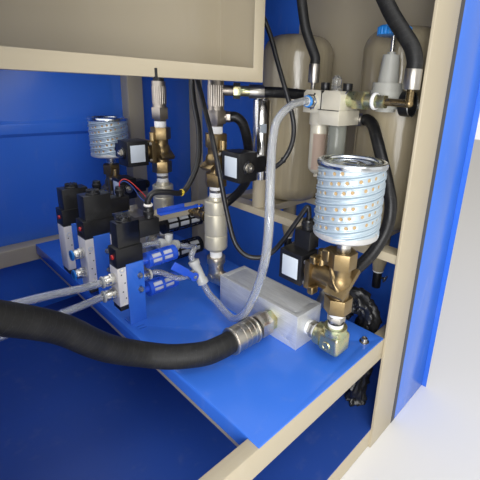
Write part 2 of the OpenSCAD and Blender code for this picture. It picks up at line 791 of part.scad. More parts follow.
module filter_body() {
    color("#b9b7a6") translate([mod_x, filter_y, mod_z]) difference() {
        union() {
            module_head(mod_top - mod_z);
            rod_z([module_d / 2, module_w / 2, -20], module_w - 1, 21);
            rod_x([-1.5, module_w / 2, port_z - mod_z - 6], 26, 2);
        }
        rod_z([knob_at, module_w / 2 - 7, mod_top - mod_z - 5], knob_d - 6 + 0.1, 6);
    }
}
knob_at = 24;
knob_d = 15;

module oiler_body() {
    x0 = mod_x;
    z0 = mod_z - 16;
    color("#b9b7a6") difference() {
        union() {
            translate([x0, oiler_y, mod_z + 6]) module_head(mod_top - mod_z - 6);
            block([x0 - 4, oiler_y - 2, z0], [x0 + module_d + 4, oiler_y + module_w, mod_z + 7]);
        }
        rod_z([x0 + 30, oiler_y + 9, mod_top - 5], knob_d - 6 + 0.1, 6);
    }
}

// Bowl with a rounded bottom and a small drain.
module bowl(len) {
    rod_z([0, 0, bowl_d / 2 - len], bowl_d, len - bowl_d / 2);
    translate([0, 0, bowl_d / 2 - len]) sphere(d = bowl_d);
    rod_z([0, 0, -len - 5], 8, 7);
}
module filter_bowl() {
    color("#b9b7a6") translate([mod_x + module_d / 2, filter_y + module_w / 2, mod_z - 20]) bowl(bowl_len);
}
module oiler_bowl() {
    color("#5d6056") translate([mod_x + module_d / 2, oiler_y + module_w / 2, mod_z - 16]) bowl(bowl_len);
}

// Black knob whose spigot turns in the top of a module.
module top_knob() {
    rod_z([0, 0, 0], knob_d, 12);
    rod_z([0, 0, -4.5], knob_d - 6, 5);
}
module filter_knob() {
    color("#232324") translate([mod_x + knob_at, filter_y + module_w / 2 - 7, mod_top + 0.3]) top_knob();
}
module oiler_knob() {
    color("#232324") translate([mod_x + 30, oiler_y + 9, mod_top + 0.3]) top_knob();
}
module sight_dome() {
    color("#d9dde0") translate([mod_x + 22, oiler_y + 25, mod_top]) {
        rod_z([0, 0, 0], 18, 4);
        rod_z([0, 0, 4], 16, 12);
        translate([0, 0, 16]) sphere(d = 16);
    }
}

// Regulator body with its flanges and tapered bonnet, held by a strip to the post.
spindle_d = 6;
module pressure_regulator() {
    strip_x = reg_x + 26;
    color("#a9a99f") {
        translate([reg_x, reg_y, reg_z]) difference() {
            union() {
                rod_z([0, 0, 0], 30, 6);
                rod_z([0, 0, 5], 42, 14);
                rod_z([0, 0, 18], 51, 14);
                rod_z([0, 0, 31], 46, 12);
                translate([0, 0, 43]) cylinder(r1 = 16, r2 = 12.5, h = 41);
                rod_z([0, 0, 83], across(11), 5, 6);
            }
            rod_z([0, 0, 74], spindle_d + 0.1, 20);
        }
        block([reg_x + 18, reg_y - 6, reg_z + 7], [strip_x, reg_y + 6, reg_z + 15]);
        block([strip_x - 3, frame_y, reg_z + 7], [strip_x, reg_y + 6, reg_z + 15]);
    }
}

// Hand knob with grip flutes, fixed on its threaded spindle.
flutes = 24;
module hand_knob() {
    color("#1b7fd0") translate([reg_x, reg_y, knob_z]) difference() {
        union() {
            rod_z([0, 0, 0], hand_knob_d, 11);
            rod_z([0, 0, 10], hand_knob_d - 6, 3);
            rod_z([0, 0, reg_z + 76 - knob_z], spindle_d, knob_z - reg_z - 75);
        }
        for (k = [0 : flutes - 1]) rotate([0, 0, 360 * k / flutes])
            rod_z([hand_knob_d / 2 + 0.6, 0, -1], 3, 13);
    }
}

gauge_d = 38;
module pressure_gauge() {
    y0 = reg_y - 43;
    color("#1f2022") difference() {
        union() {
            rod_y([reg_x + 4, y0, port_z - 2], gauge_d, 16);
            rod_y([reg_x + 4, y0 + 15, port_z - 2], 7, 7);
        }
        rod_y([reg_x + 4, y0 - 1, port_z - 2], gauge_d - 4, 3);
    }
}

// Supply pipe from the oiler toward the front, bent up into its hose end.
module supply_pipe() {
    x = bay_x - 7;
    y0 = oiler_y;
    color("#8a6f3c") {
        rod_y([x, y0 - 10, port_z], 24, 10);
        rod_y([x, y0 - 29, port_z], across(26), 19, 6);
        rod_y([x, y0 - 42, port_z], pipe_d, 14);
        rod_y([x, y0 - 62, port_z], across(18), 14, 6);
        rod_y([x, y0 - 62, port_z], 14, 22);
        rod_y([x, supply_y, port_z], 11, y0 - 61 - supply_y);
        translate([x, supply_y, port_z]) sphere(d = 12.5);
        rod_z([x, supply_y, port_z], 11, 19);
    }
}

// White valve bodies on their brackets.
module spool_valves() {
    color("#e6e4de") for (i = [0 : 2]) {
        x1 = spool_x + spool_d[i];
        difference() {
            block([spool_x, spool_y[i], spool_z[i] + foot_h], [x1, spool_y[i] + spool_t[i], spool_top[i]]);
            for (z = [-1, 1]) rod_y([spool_x + 8, spool_y[i] - 1, spool_mid(i) + z * spool_part], 4, 3);
        }
    }
}
spool_part = 30;
function spool_my(i) = spool_y[i] + spool_t[i] / 2;

// Black end caps, pilot caps with a bore for the button, coils with nut and plug.
module pilot_heads() {
    color("#232427") for (i = [0 : 2]) {
        x1 = spool_x + spool_d[i];
        y0 = spool_y[i];
        y1 = y0 + spool_t[i];
        z0 = spool_top[i];
        z1 = z0 + cap_h;
        z2 = z1 + spool_coil_h[i];
        block([spool_x + 1, y0 + 1, spool_z[i]], [x1 - 1, y1 - 1, spool_z[i] + foot_h]);
        difference() {
            block([spool_x, y0, z0], [x1, y1, z1]);
            rod_x([spool_x - 1, spool_my(i), z0 + cap_h / 2], button_d + 2 * button_gap, button_bore + 1);
        }
        block([spool_x + 2, y0 + 1, z1], [x1 - 2, y1 - 1, z2]);
        rod_z([(spool_x + x1) / 2, spool_my(i), z2], 22, 6, 24);
        block([x1 - 2, spool_my(i) - 12, z2 - plug_h - 12], [x1 + plug_l, spool_my(i) + 12, z2 - 12]);
        rod_z([x1 + plug_l - 12, spool_my(i), z2 - 12], 15, 18);
    }
}
plug_h = 28;
plug_l = 34;
button_out = 2.5;
button_bore = button_len - button_out + button_travel + 0.5;

module override_button(i) {
    color("#d2262b") rod_x([spool_x - button_out, spool_my(i), spool_top[i] + cap_h / 2], button_d, button_len);
}

// Angle plates on the tray that hold the valves from the front.
module valve_brackets() {
    x0 = spool_x + 14;
    x1 = spool_x + 44;
    color("#1f5fe0") for (i = [0 : 2]) difference() {
        union() {
            block([x0, spool_y[i] - bracket_t, tray_z], [x1, spool_y[i], spool_top[i] + 4]);
            block([x0, spool_y[i] - eps, tray_z], [x1, spool_y[i] + 20, tray_z + bracket_t]);
        }
        for (z = [-1, 1]) block([spool_x + 34, spool_y[i] - 4, spool_mid(i) + z * port_gap[i] / 2 - 7],
            [spool_x + 38, spool_y[i] - eps, spool_mid(i) + z * port_gap[i] / 2 + 7]);
    }
}

// Push-in fittings on the valves and the filter, and the two tees in the clear tubes.
tee_a = [-14, -42, 350] + bay_at;
tee_b = [24, -40, 336] + bay_at;
tee_c = [14, -108, 330] + bay_at;
tee_d = [24, -124, 288] + bay_at;
function spool_port(i, z) = [spool_x, spool_my(i), spool_mid(i) + z * port_gap[i] / 2];
module push_fittings() {
    color("#c8c9c5") {
        for (i = [0, 1]) for (z = [-1, 1]) translate(spool_port(i, z)) {
            rod_x([-8, 0, 0], across(13), 8, 6);
            rod_x([-17, 0, 0], 15, 10);
            rod_x([-20, 0, 0], 13, 3);
        }
        for (i = [0, 1]) translate([spool_x + spool_d[i], spool_my(i), spool_mid(i)]) {
            rod_x([0, 0, 0], across(13), 8, 6);
            rod_x([7, 0, 0], 15, 10);
        }
        limb(tee_a, tee_b, 16);
        limb((tee_a + tee_b) / 2, (tee_a + tee_b) / 2 + [2, 0, 20], 14);
        limb(tee_c, tee_d, 17);
        for (t = [[tee_a, tee_b], [tee_b, tee_a], [tee_c, tee_d], [tee_d, tee_c]])
            limb(t[0], t[0] + 8 * unit(t[1] - t[0]), 20);
    }
    color("#2f66d8") rod_x([mod_x - 14, filter_y + module_w / 2, port_z - 6], 15, 12.5);
}

// Slotted exhaust mufflers: a cage with three rows of windows.
module muffler(d, len, rows) {
    difference() {
        rod_x([0, 0, 0], d, len);
        rod_x([5, 0, 0], d - 5, len - 10);
        for (k = [0 : 7]) rotate([45 * k, 0, 0]) for (j = [0 : rows - 1])
            block([7 + j * (len - 12) / rows, -d * 0.14, d / 4], [3 + (j + 1) * (len - 12) / rows, d * 0.14, d]);
    }
    rod_x([4.9, 0, 0], d - 9, len - 9.8);
}
muffler_gap = 55;
big_muffler_x = bay_x - 139;
module mufflers() {
    color("#2a63d8") for (z = [-1, 1])
        translate([spool_x + spool_d[0], spool_my(0), spool_mid(0) + z * muffler_gap / 2]) {
            rod_x([0, 0, 0], 12, 13);
            translate([12, 0, 0]) muffler(28, 56, 2);
        }
    color("#232427") for (z = [-1, 1]) {
        x1 = spool_x + spool_d[1];
        translate([0, spool_my(1), spool_mid(1) + z * 34]) {
            rod_x([x1, 0, 0], 13, big_muffler_x - x1);
            rod_x([big_muffler_x - 12, 0, 0], across(20), 12, 6);
            translate([big_muffler_x, 0, 0]) muffler(38, 95, 3);
        }
    }
}

// Ball valves: a brass body with a stem boss that its lever turns on.
upper_cock = [bay_x - 95, cross_y - 24, cradle_z - 8];
lower_cock = [-3, -115, 309] + bay_at;
cock_d = 15;
stem_out = 10;
lever_rise = 40;
module cock(d, len) {
    rod_y([0, -len / 2, 0], d - 4, len);
    translate([0, 0, 0]) sphere(d = d);
    for (y = [-1, 1]) rod_y([0, y * (len / 2 - 4) - 4, 0], across(d - 4), 8, 6);
    rod_z([0, 0, 0], 9, d / 2 + 3);
    rod_z([0, 0, d / 2 + 3 - eps], 6, 5 + eps);
}
module ball_valves() {
    color("#b08d4c") translate(upper_cock) cock(24, 48);
    color("#c8c9c5") translate(lower_cock) {
        rod_x([-1, 0, 0], cock_d, 12);
        rod_y([6, -stem_out, 0], 9, stem_out);
        rod_y([6, -stem_out - 5, 0], 6, 6);
    }
}

// Blue flat lever with a bore for the stem.
module flat_lever(len, flange = 3) {
    difference() {
        union() {
            block([-len, -5, 0], [0, 5, 3]);
            block([-len, 4, 0], [-len * 0.35, 7, flange]);
            rod_z([0, 0, 0], 16, 3);
            block([-len, -7, 0], [-len * 0.35, 7, 3]);
        }
        rod_z([0, 0, -1], 6.1, 5);
    }
}
module upper_lever() {
    color("#1c3fc4") translate(upper_cock + [0, 0, 15.3]) flat_lever(92, 11);
}
module lower_lever() {
    color("#1c3fc4") translate(lower_cock + [6, -stem_out - 0.3, 0]) rotate([90, lever_rise, 0]) flat_lever(56);
}

module polished_cylinder() {
    color("#c9ccd0") translate([inner_bar_x + bar_w / 2, middle_line_y + 8, cradle_z]) {
        rod_z([0, 0, 0], 30, 62);
        rod_z([0, 0, 60], 36, 162);
        rod_z([0, 0, 221], 28, 8);
    }
}

// Routes of the hoses, tubes and cables, from one end to the other.
pressure_path = held([[-36.3, -270, 270], [-50, -270, 270], [-74, -264, 268], [-98, -250, 268],
    [-121, -234, 270], [-145, -219, 278], [-170, -214, 293], [-192, -213, 310],
    [-212, -214, 330], [-229, -216, 350], [-248, -219, 370], [-282, -226, 398],
    [-322, -230, 424], [-352, -230, 430], [-368.7, -230, 430]], bay_at, wall_at);
loop_path = held([[221, -304.3, 592], [221, -312, 592], [214, -326, 585], [201, -342, 568],
    [189, -362, 538], [180, -381, 505], [174, -394, 473], [166, -396, 438], [153, -386, 401],
    [140, -368, 370], [132, -349.3, 345.7], [132, -344.7, 335.9]], bay_at, bay_at);
supply_path = held([[180, -397, 670.3], [180, -397, 680], [180, -390, 698], [179, -374, 718],
    [177, -352, 746], [174, -326, 790], [172, -305, 840], [171, -297, 885], [171, -297, 897.8]], bay_at, top_at);
filter_path = held([[168, -234, 676.3], [168, -234, 686], [164, -226, 706], [156, -219, 732],
    [149, -213, 775], [143, -206, 830], [141, -202, 885], [141, -202, 897.8]], bay_at, top_at);
cross_path = held([[148.5, -139.9, 628], [158, -147.3, 628], [178, -161, 628], [204, -178, 626],
    [230, -194, 623], [247.8, -214.2, 622], [253.7, -222.5, 622]], bay_at, bay_at);
branch_path = held([[100.6, -106.6, 583], [107, -113, 583], [118, -119, 572], [131, -117, 545],
    [151, -102, 513], [168, -87, 479], [178, -68, 447], [178, -46, 419], [168, -28, 398],
    [152, -20, 384.5], [140, -20, 382], [129.6, -20, 382]], bay_at, cradle_at);
pilot_path = held([[140.7, -244, 618], [131, -244, 618], [97, -248, 611], [60, -258, 593],
    [28, -280, 569], [-2, -307, 542], [-24, -328, 510], [-35, -339, 476], [-35, -336, 435],
    [-27, -319, 390], [-14, -292, 343], [-2, -262, 299], [10, -225, 268], [20, -190, 261],
    [27, -158, 263], [28, -137, 268], [26.2, -127.6, 278.6], [24.1, -124.2, 287.6]], bay_at, bay_at);
upper_tube = held([[-136.3, -72.5, 326.5], [-146, -72.5, 326.5], [-172, -76, 330], [-230, -78, 338],
    [-320, -80, 345], [-405, -80, 350], [-417.7, -80, 350]], bay_at, wall_at);
lower_tube = held([[-136.3, -72.5, 300.5], [-146, -72.5, 300.5], [-179, -82, 304], [-235, -88, 306],
    [-320, -90, 306], [-405, -90, 306], [-417.7, -90, 306]], bay_at, wall_at);
tee_tube = held([[24.3, -40, 335.9], [33, -39.6, 332.6], [41, -55, 333], [35, -82, 343],
    [20, -101, 347], [12, -104.8, 338.4], [13.9, -107.8, 330.4]], bay_at, bay_at);
inlet_tube = held([[-53.7, -72.5, 313.5], [-44, -72.5, 313.5], [-34, -80, 312], [-28, -96, 310],
    [-22, -111, 309], [-12, -115, 309], [-4.3, -115, 309]], bay_at, bay_at);
middle_tube = held([[-14.3, -42, 350.1], [-23, -42.4, 353.3], [-40, -36, 352], [-46, -12, 338],
    [-40, 18, 320], [-31, 44, 311], [-35, 53, 310.5], [-42.7, 53, 310.5]], bay_at, bay_at);
front_coil_path = held([[30, -153.7, 735], [30, -146, 735], [34, -118, 712], [37, -94, 660],
    [38, -112, 605], [34, -140, 551], [31, -162, 497], [34, -176, 440], [35, -196, 390],
    [42, -218, 370], [60, -240, 370], [74, -258, 390], [88, -282, 436], [96, -295, 462],
    [98, -298, 453], [98, -298, 443.3]], bay_at, bay_at);
middle_coil_path = held([[22, -153.7, 850], [22, -146, 850], [60, -138, 830], [105, -150, 775],
    [128, -166, 725], [136, -180, 680], [139, -194, 645], [143, -208, 608], [145, -217, 575],
    [138, -220, 545], [126, -214, 520], [117, -198, 504], [117, -187.7, 504]], bay_at, bay_at);
spool_path = held([[8, -153.7, 800], [8, -146, 800], [30, -126, 785], [52, -92, 755],
    [66, -52, 705], [76, -26, 655], [76, -30, 608], [70, -53, 556], [56, -69, 504],
    [36, -74, 470], [13, -78, 452], [-16, -80, 458], [-40, -76, 460], [-49, -72.5, 448],
    [-49, -72.5, 436.3]], bay_at, bay_at);
lip_path = held([[-372, -239.6, 649.4], [-330, -239, 650], [-290, -238, 651], [-240, -239.6, 649.4],
    [-197, -238, 651], [-150, -239.6, 649.4], [-105, -238, 651], [-60, -239.6, 649.4]], wall_at, bay_at);
sleeve_path = held([[222, -240, 42.3], [222, -240, 58], [214, -268, 130], [208, -300, 215],
    [205, -322, 262], [205, -340, 281], [208, -356, 270], [214, -362, 235], [222, -356, 140],
    [226, -350, 58], [226, -350, 42.3]], floor_at, floor_at);

module pressure_hose() {
    color("#232323") cord(pressure_path, hose_d, 2, 12);
}
module loop_hose() {
    color("#1c1c1d") cord(loop_path, 19, 2, 12);
}
module supply_hose() {
    color("#232323") cord(supply_path, 22, 3, 12);
}
module filter_hose() {
    color("#232323") cord(filter_path, 16, 2, 12);
}
module cross_hose() {
    color("#1c1c1d") cord(cross_path, 19, 2, 12);
}
module branch_hose() {
    color("#1c1c1d") cord(branch_path, 18, 2, 12);
}
module riser_hoses() {
    z0 = upper_valve_top + 13 + riser_nut_h + ferrule_h;
    color("#1c1c1d") {
        rod_z([line_x, middle_line_y, z0], riser_d, top_z - z0);
        rod_z([line_x, inner_line_y, z0 - inner_drop], riser_d, top_z - z0 + inner_drop);
    }
}
module pilot_tube() {
    color("#c9d3d8") cord(pilot_path, 12, 2, 8);
}
module valve_tubes() {
    color("#c9d3d8") {
        cord(upper_tube, 12, 2, 8);
        cord(lower_tube, 12, 2, 8);
        cord(tee_tube, 10, 2, 8);
        cord(inlet_tube, 10, 2, 8);
        cord(middle_tube, 10, 2, 8);
    }
}
module front_coil_cable() {
    color("#1b1b1c") cord(front_coil_path, 8, 2, 8);
}
module middle_coil_cable() {
    color("#1b1b1c") cord(middle_coil_path, 8, 2, 8);
}
module spool_cable() {
    color("#1b1b1c") cord(spool_path, 10, 2, 8);
}
module lip_cable() {
    color("#1b1b1c") cord(lip_path, 8, 2, 8);
}
module cable_sleeve() {
    color("#1b1b1c") cord(sleeve_path, 32, 2, 12);
}

base_frame();
tray_rails();
vessel_cradle();
back_panel();
side_panels();
liner_panel();
level_sheets();
front_panel();
door_gasket();
valve_tray();
fasteners();
electrical_box();
air_vessels();
vessel_drains();
manifold_blocks();
silencers();
pilot_valves();
valve_coils();
check_valves();
line_nipples();
thread_tape();
line_elbows();
hose_ends();
filter_body();
oiler_body();
filter_bowl();
oiler_bowl();
filter_knob();
oiler_knob();
sight_dome();
pressure_regulator();
hand_knob();
pressure_gauge();
supply_pipe();
spool_valves();
pilot_heads();
override_button(0);  // front_button
override_button(1);  // middle_button
override_button(2);  // rear_button
valve_brackets();
push_fittings();
mufflers();
ball_valves();
upper_lever();
lower_lever();
polished_cylinder();
cable_sleeve();
pressure_hose();
loop_hose();
supply_hose();
filter_hose();
cross_hose();
branch_hose();
riser_hoses();
pilot_tube();
valve_tubes();
front_coil_cable();
middle_coil_cable();
spool_cable();
lip_cable();
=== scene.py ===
"""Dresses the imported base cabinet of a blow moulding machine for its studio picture.

Every length is in metres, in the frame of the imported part: X runs to the right across the
open front, Y runs to the back and Z is up, from the floor under the middle of the cabinet.
"""

from __future__ import annotations

import json
import logging
import math
from dataclasses import dataclass, field
from enum import Enum
from typing import Callable, ClassVar, Iterator, Sequence

import bmesh
import bpy
from mathutils import Matrix, Vector, noise

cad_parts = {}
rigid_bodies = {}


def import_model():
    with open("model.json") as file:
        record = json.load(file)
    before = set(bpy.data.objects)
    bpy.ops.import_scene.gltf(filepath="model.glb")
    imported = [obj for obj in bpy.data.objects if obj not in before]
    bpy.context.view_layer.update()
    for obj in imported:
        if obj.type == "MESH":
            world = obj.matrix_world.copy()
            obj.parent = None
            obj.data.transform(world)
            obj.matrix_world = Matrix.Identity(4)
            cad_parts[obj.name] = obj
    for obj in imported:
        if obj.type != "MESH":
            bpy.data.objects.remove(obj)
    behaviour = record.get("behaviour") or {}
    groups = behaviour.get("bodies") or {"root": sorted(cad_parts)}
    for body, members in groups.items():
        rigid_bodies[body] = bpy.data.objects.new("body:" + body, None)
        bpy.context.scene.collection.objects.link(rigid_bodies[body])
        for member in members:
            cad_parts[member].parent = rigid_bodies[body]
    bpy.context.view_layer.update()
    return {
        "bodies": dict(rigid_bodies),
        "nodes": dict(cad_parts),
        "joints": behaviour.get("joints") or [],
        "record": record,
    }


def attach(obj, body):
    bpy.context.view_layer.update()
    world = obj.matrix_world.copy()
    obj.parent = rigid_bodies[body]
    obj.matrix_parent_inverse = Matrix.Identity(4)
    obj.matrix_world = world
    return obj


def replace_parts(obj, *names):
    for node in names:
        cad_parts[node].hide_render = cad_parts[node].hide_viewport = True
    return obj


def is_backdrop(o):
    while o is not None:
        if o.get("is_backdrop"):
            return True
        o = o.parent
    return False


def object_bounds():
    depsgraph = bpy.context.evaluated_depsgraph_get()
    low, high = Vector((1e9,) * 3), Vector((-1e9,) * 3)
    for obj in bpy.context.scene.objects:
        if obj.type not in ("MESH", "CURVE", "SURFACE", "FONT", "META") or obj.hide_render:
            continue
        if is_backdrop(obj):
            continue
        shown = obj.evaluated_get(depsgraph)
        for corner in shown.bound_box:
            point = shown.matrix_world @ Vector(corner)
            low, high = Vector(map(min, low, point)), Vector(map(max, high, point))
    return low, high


LOG = logging.getLogger("cabinet")
MM = 0.001
CABINET = "cabinet"

Colour = tuple[float, float, float]
Point = tuple[float, float, float]
Profile = Sequence[tuple[float, float]]
Mesh = bmesh.types.BMesh
Vert = bmesh.types.BMVert
Material = bpy.types.Material
UP, LEFT, RIGHT, FRONT, BACK = (0, 0, 1), (-1, 0, 0), (1, 0, 0), (0, -1, 0), (0, 1, 0)

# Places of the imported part, in millimetres: the upright lines of pipe, the pressure hose's port
# (Y, Z), the air vessels, the filter's push-in fitting and the gauge (X, Z).
LINE_X = 82
FRONT_LINE_Y, MIDDLE_LINE_Y, INNER_LINE_Y = -376, -88, 99
HOSE_PORT = (-270, 270)
VESSEL_X, VESSELS_Y = 320, (-317, -70)
FILTER_AT = (180, -244, 618)
GAUGE_AT = (222, 622)


# Shader graph.


class Socket:
    """A node's output that adds Math nodes when it meets an operator."""

    def __init__(self, graph: Graph, socket: bpy.types.NodeSocket) -> None:
        """Keeps the socket and the graph that new nodes go into."""
        self.graph = graph
        self.socket = socket

    def _math(self, operation: str, *values: Socket | float) -> Socket:
        """Returns the result of one Math node for the values."""
        return self.graph.node(
            "ShaderNodeMath", dict(enumerate(values)), "Value", operation=operation
        )

    def __add__(self, other: Socket | float) -> Socket:
        """Returns self + other."""
        return self._math("ADD", self, other)

    def __sub__(self, other: Socket | float) -> Socket:
        """Returns self - other."""
        return self._math("SUBTRACT", self, other)

    def __mul__(self, other: Socket | float) -> Socket:
        """Returns self * other."""
        return self._math("MULTIPLY", self, other)

    def sine(self) -> Socket:
        """Returns the sine of self."""
        return self._math("SINE", self)


class Graph:
    """A material's node tree, with its shader and its Object coordinates."""

    def __init__(self, name: str) -> None:
        """Makes the named material with a Principled shader."""
        self.material = bpy.data.materials.new(name)
        self.material.use_nodes = True
        self.tree = self.material.node_tree
        self.shader = self.tree.nodes["Principled BSDF"]
        self.coords = self.node("ShaderNodeTexCoord", {}, "Object")

    def node(
        self, kind: str, inputs: dict[int | str, object], output: str | int = 0, **settings: str
    ) -> Socket:
        """Adds any node.

        Args:
            kind: The node's type.
            inputs: Values or links of its input sockets.
            output: The output that is wanted.
            settings: Attributes that are set before its inputs.

        Returns:
            The wrapped output.
        """
        made = self.tree.nodes.new(kind)
        for key, value in settings.items():
            setattr(made, key, value)
        for key, value in inputs.items():
            self.feed(made.inputs[key], value)
        return Socket(self, made.outputs[output])

    def feed(self, socket: bpy.types.NodeSocket, value: object) -> None:
        """Links an input socket to a wrapped output, or sets its value."""
        if isinstance(value, Socket):
            self.tree.links.new(value.socket, socket)
        elif isinstance(value, tuple) and socket.type == "RGBA":
            socket.default_value = (*value, 1.0)
        else:
            socket.default_value = value

    def noise(
        self, scale: float, detail: float = 3.0, stretch: Colour | None = None, rough: float = 0.5
    ) -> Socket:
        """Adds a noise of the surface.

        Args:
            scale: Its scale, per metre.
            detail: Its octaves.
            stretch: Factors on the axes, for brushed or streaked looks.
            rough: The weight of the fine octaves.

        Returns:
            A value around one half.
        """
        vector = self.coords
        if stretch:
            vector = self.node("ShaderNodeMapping", {"Vector": vector, "Scale": stretch})
        inputs = {"Vector": vector, "Scale": scale, "Detail": detail, "Roughness": rough}
        return self.node("ShaderNodeTexNoise", inputs, "Fac")

    def ramp(self, value: Socket, stops: Sequence[tuple[float, Colour]]) -> Socket:
        """Returns the colour that the stops give for a value."""
        colour = self.node("ShaderNodeValToRGB", {"Fac": value}, "Color")
        elements = colour.socket.node.color_ramp.elements
        while len(elements) < len(stops):
            elements.new(0.5)
        for element, (place, tint) in zip(elements, stops):
            element.position = place
            element.color = (*tint, 1.0)
        return colour

    def grade(self, value: Socket, low: float, high: float) -> Socket:
        """Returns 0 below low, 1 above high and a smooth step between."""
        inputs = {"Value": value, "From Min": low, "From Max": high}
        return self.node("ShaderNodeMapRange", inputs, interpolation_type="SMOOTHSTEP")

    def blend(self, mask: Socket, low: Colour | Socket, high: Colour | Socket) -> Socket:
        """Returns low where the mask is 0 and high where it is 1."""
        return self.node("ShaderNodeMix", {0: mask, 6: low, 7: high}, 2, data_type="RGBA")

    def relief(self, height: Socket, distance: float, strength: float) -> None:
        """Feeds the shader's normal with a bump.

        Args:
            height: The bump's height.
            distance: Its depth in metres.
            strength: Its strength.
        """
        inputs = {"Height": height, "Distance": distance, "Strength": strength}
        self.feed(self.shader.inputs["Normal"], self.node("ShaderNodeBump", inputs))

    def surface(self, **values: object) -> Material:
        """Sets the shader's sockets.

        Args:
            values: Socket names, with _ for a space, and their values or links.

        Returns:
            The finished material.
        """
        for key, value in values.items():
            self.feed(self.shader.inputs[key.replace("_", " ")], value)
        return self.material


def shade(colour: Colour, factor: float) -> Colour:
    """Returns a colour made darker or lighter."""
    return tuple(min(1.0, c * factor) for c in colour)


# Finishes: each class is a recipe, each member of Skin a finish of the cabinet.


@dataclass(frozen=True)
class Finish:
    """A surface finish; each kind builds its own material once."""

    name: str
    slot: str
    colour: Colour
    roughness: float = 0.45
    _built: ClassVar[dict[str, Material]] = {}

    def material(self) -> Material:
        """Returns the finish's material."""
        if self.name not in self._built:
            self._built[self.name] = self.build(Graph(self.name))
        return self._built[self.name]

    def build(self, graph: Graph) -> Material:
        """Builds the material; overridden by each kind of finish."""
        return graph.surface(Base_Color=self.colour, Roughness=self.roughness)


@dataclass(frozen=True)
class Paint(Finish):
    """Powder coat with a fine orange peel, faint clouds and rubbed patches."""

    peel: float = 0.00006
    dust: Colour = (0.55, 0.53, 0.48)
    dust_share: float = 0.10

    def build(self, graph: Graph) -> Material:
        """Builds the paint."""
        clouds = graph.noise(5.0, 5.0)
        rubs = graph.noise(38.0, 6.0, (1.0, 1.0, 0.35))
        base = graph.blend(clouds, shade(self.colour, 0.93), shade(self.colour, 1.05))
        dusty = graph.grade(rubs, 0.56, 0.78) * self.dust_share
        colour = graph.blend(dusty, base, self.dust)
        graph.relief(graph.noise(1400.0, 2.0), self.peel, 0.5)
        return graph.surface(Base_Color=colour, Roughness=rubs * 0.12 + (self.roughness - 0.06))


@dataclass(frozen=True)
class Rolled(Paint):
    """Gloss paint over rolled plate whose long dents stretch the reflections; vertical streaks of
    painted reflection run through its colour.
    """

    dents: float = 0.009

    def build(self, graph: Graph) -> Material:
        """Builds the paint."""
        waves = graph.noise(11.0, 3.0, (1.0, 1.0, 0.12))
        fine = graph.noise(60.0, 3.0, (1.0, 1.0, 0.2))
        # Painted reflection: vertical streaks, lighter and darker than the paint, stand for the
        # stretched glints on the glossy plate.
        painted_streaks = graph.grade(graph.noise(26.0, 6.0, (1.0, 1.0, 0.06), 0.6), 0.42, 0.66)
        base = graph.blend(painted_streaks, shade(self.colour, 0.84), shade(self.colour, 1.10))
        rubs = graph.grade(graph.noise(40.0, 6.0, (1.0, 1.0, 0.3)), 0.55, 0.78)
        colour = graph.blend(rubs * self.dust_share, base, self.dust)
        graph.relief(waves + fine * 0.10, self.dents, 1.0)
        return graph.surface(Base_Color=colour, Roughness=rubs * 0.1 + (self.roughness - 0.04))


@dataclass(frozen=True)
class Plated(Finish):
    """Plated steel or nickel with stains, fine scratches and cloudy reflections."""

    stain: Colour = (0.45, 0.42, 0.36)
    stain_share: float = 0.35
    metallic: float = 1.0
    grain: Colour = (1.0, 1.0, 1.0)

    def build(self, graph: Graph) -> Material:
        """Builds the plating."""
        stains = graph.grade(graph.noise(70.0, 6.0), 0.45, 0.72)
        scratches = graph.noise(500.0, 4.0, self.grain)
        colour = graph.blend(stains * self.stain_share, self.colour, self.stain)
        graph.relief(scratches, 0.00003, 0.4)
        rough = scratches * 0.16 + stains * 0.12 + (self.roughness - 0.10)
        return graph.surface(Base_Color=colour, Roughness=rough, Metallic=self.metallic)


@dataclass(frozen=True)
class Iridescent(Finish):
    """Yellow chromate whose colour drifts between straw, green and rose."""

    tints: tuple[Colour, Colour, Colour] = (
        (0.48, 0.43, 0.20),
        (0.46, 0.52, 0.32),
        (0.56, 0.42, 0.34),
    )

    def build(self, graph: Graph) -> Material:
        """Builds the chromate."""
        drift = graph.noise(55.0, 3.0)
        low, middle, high = self.tints
        colour = graph.ramp(
            drift, ((0.25, low), (0.45, self.colour), (0.58, middle), (0.75, high))
        )
        fine = graph.noise(420.0, 4.0)
        graph.relief(fine, 0.00004, 0.4)
        return graph.surface(
            Base_Color=colour, Roughness=fine * 0.2 + (self.roughness - 0.1), Metallic=0.9
        )


@dataclass(frozen=True)
class CastBrass(Finish):
    """Sand cast brass: grainy, with darker tarnish in its clouds."""

    tarnish: Colour = (0.26, 0.17, 0.07)
    grain_depth: float = 0.00025

    def build(self, graph: Graph) -> Material:
        """Builds the brass."""
        clouds = graph.grade(graph.noise(60.0, 6.0, rough=0.65), 0.40, 0.75)
        grain = graph.noise(900.0, 3.0)
        colour = graph.blend(clouds * 0.55, self.colour, self.tarnish)
        graph.relief(grain + clouds * 0.6, self.grain_depth, 0.5)
        return graph.surface(
            Base_Color=colour, Roughness=clouds * 0.22 + (self.roughness - 0.06), Metallic=0.92
        )


@dataclass(frozen=True)
class MilledMetal(Finish):
    """Milled bar with long tool marks and small pits."""

    along: Colour = (60.0, 2.0, 60.0)

    def build(self, graph: Graph) -> Material:
        """Builds the milled surface."""
        marks = graph.noise(9.0, 8.0, self.along, 0.7)
        blotches = graph.noise(34.0, 5.0)
        pits = graph.grade(graph.noise(430.0, 1.0), 0.72, 0.80)
        base = graph.blend(marks, shade(self.colour, 0.55), shade(self.colour, 1.30))
        dull = graph.blend(graph.grade(blotches, 0.4, 0.7) * 0.35, base, shade(self.colour, 0.7))
        colour = graph.blend(pits * 0.6, dull, shade(self.colour, 0.4))
        graph.relief(marks - pits * 0.8, 0.0002, 0.6)
        rough = blotches * 0.25 + marks * 0.12 + (self.roughness - 0.14)
        return graph.surface(Base_Color=colour, Roughness=rough, Metallic=0.45)


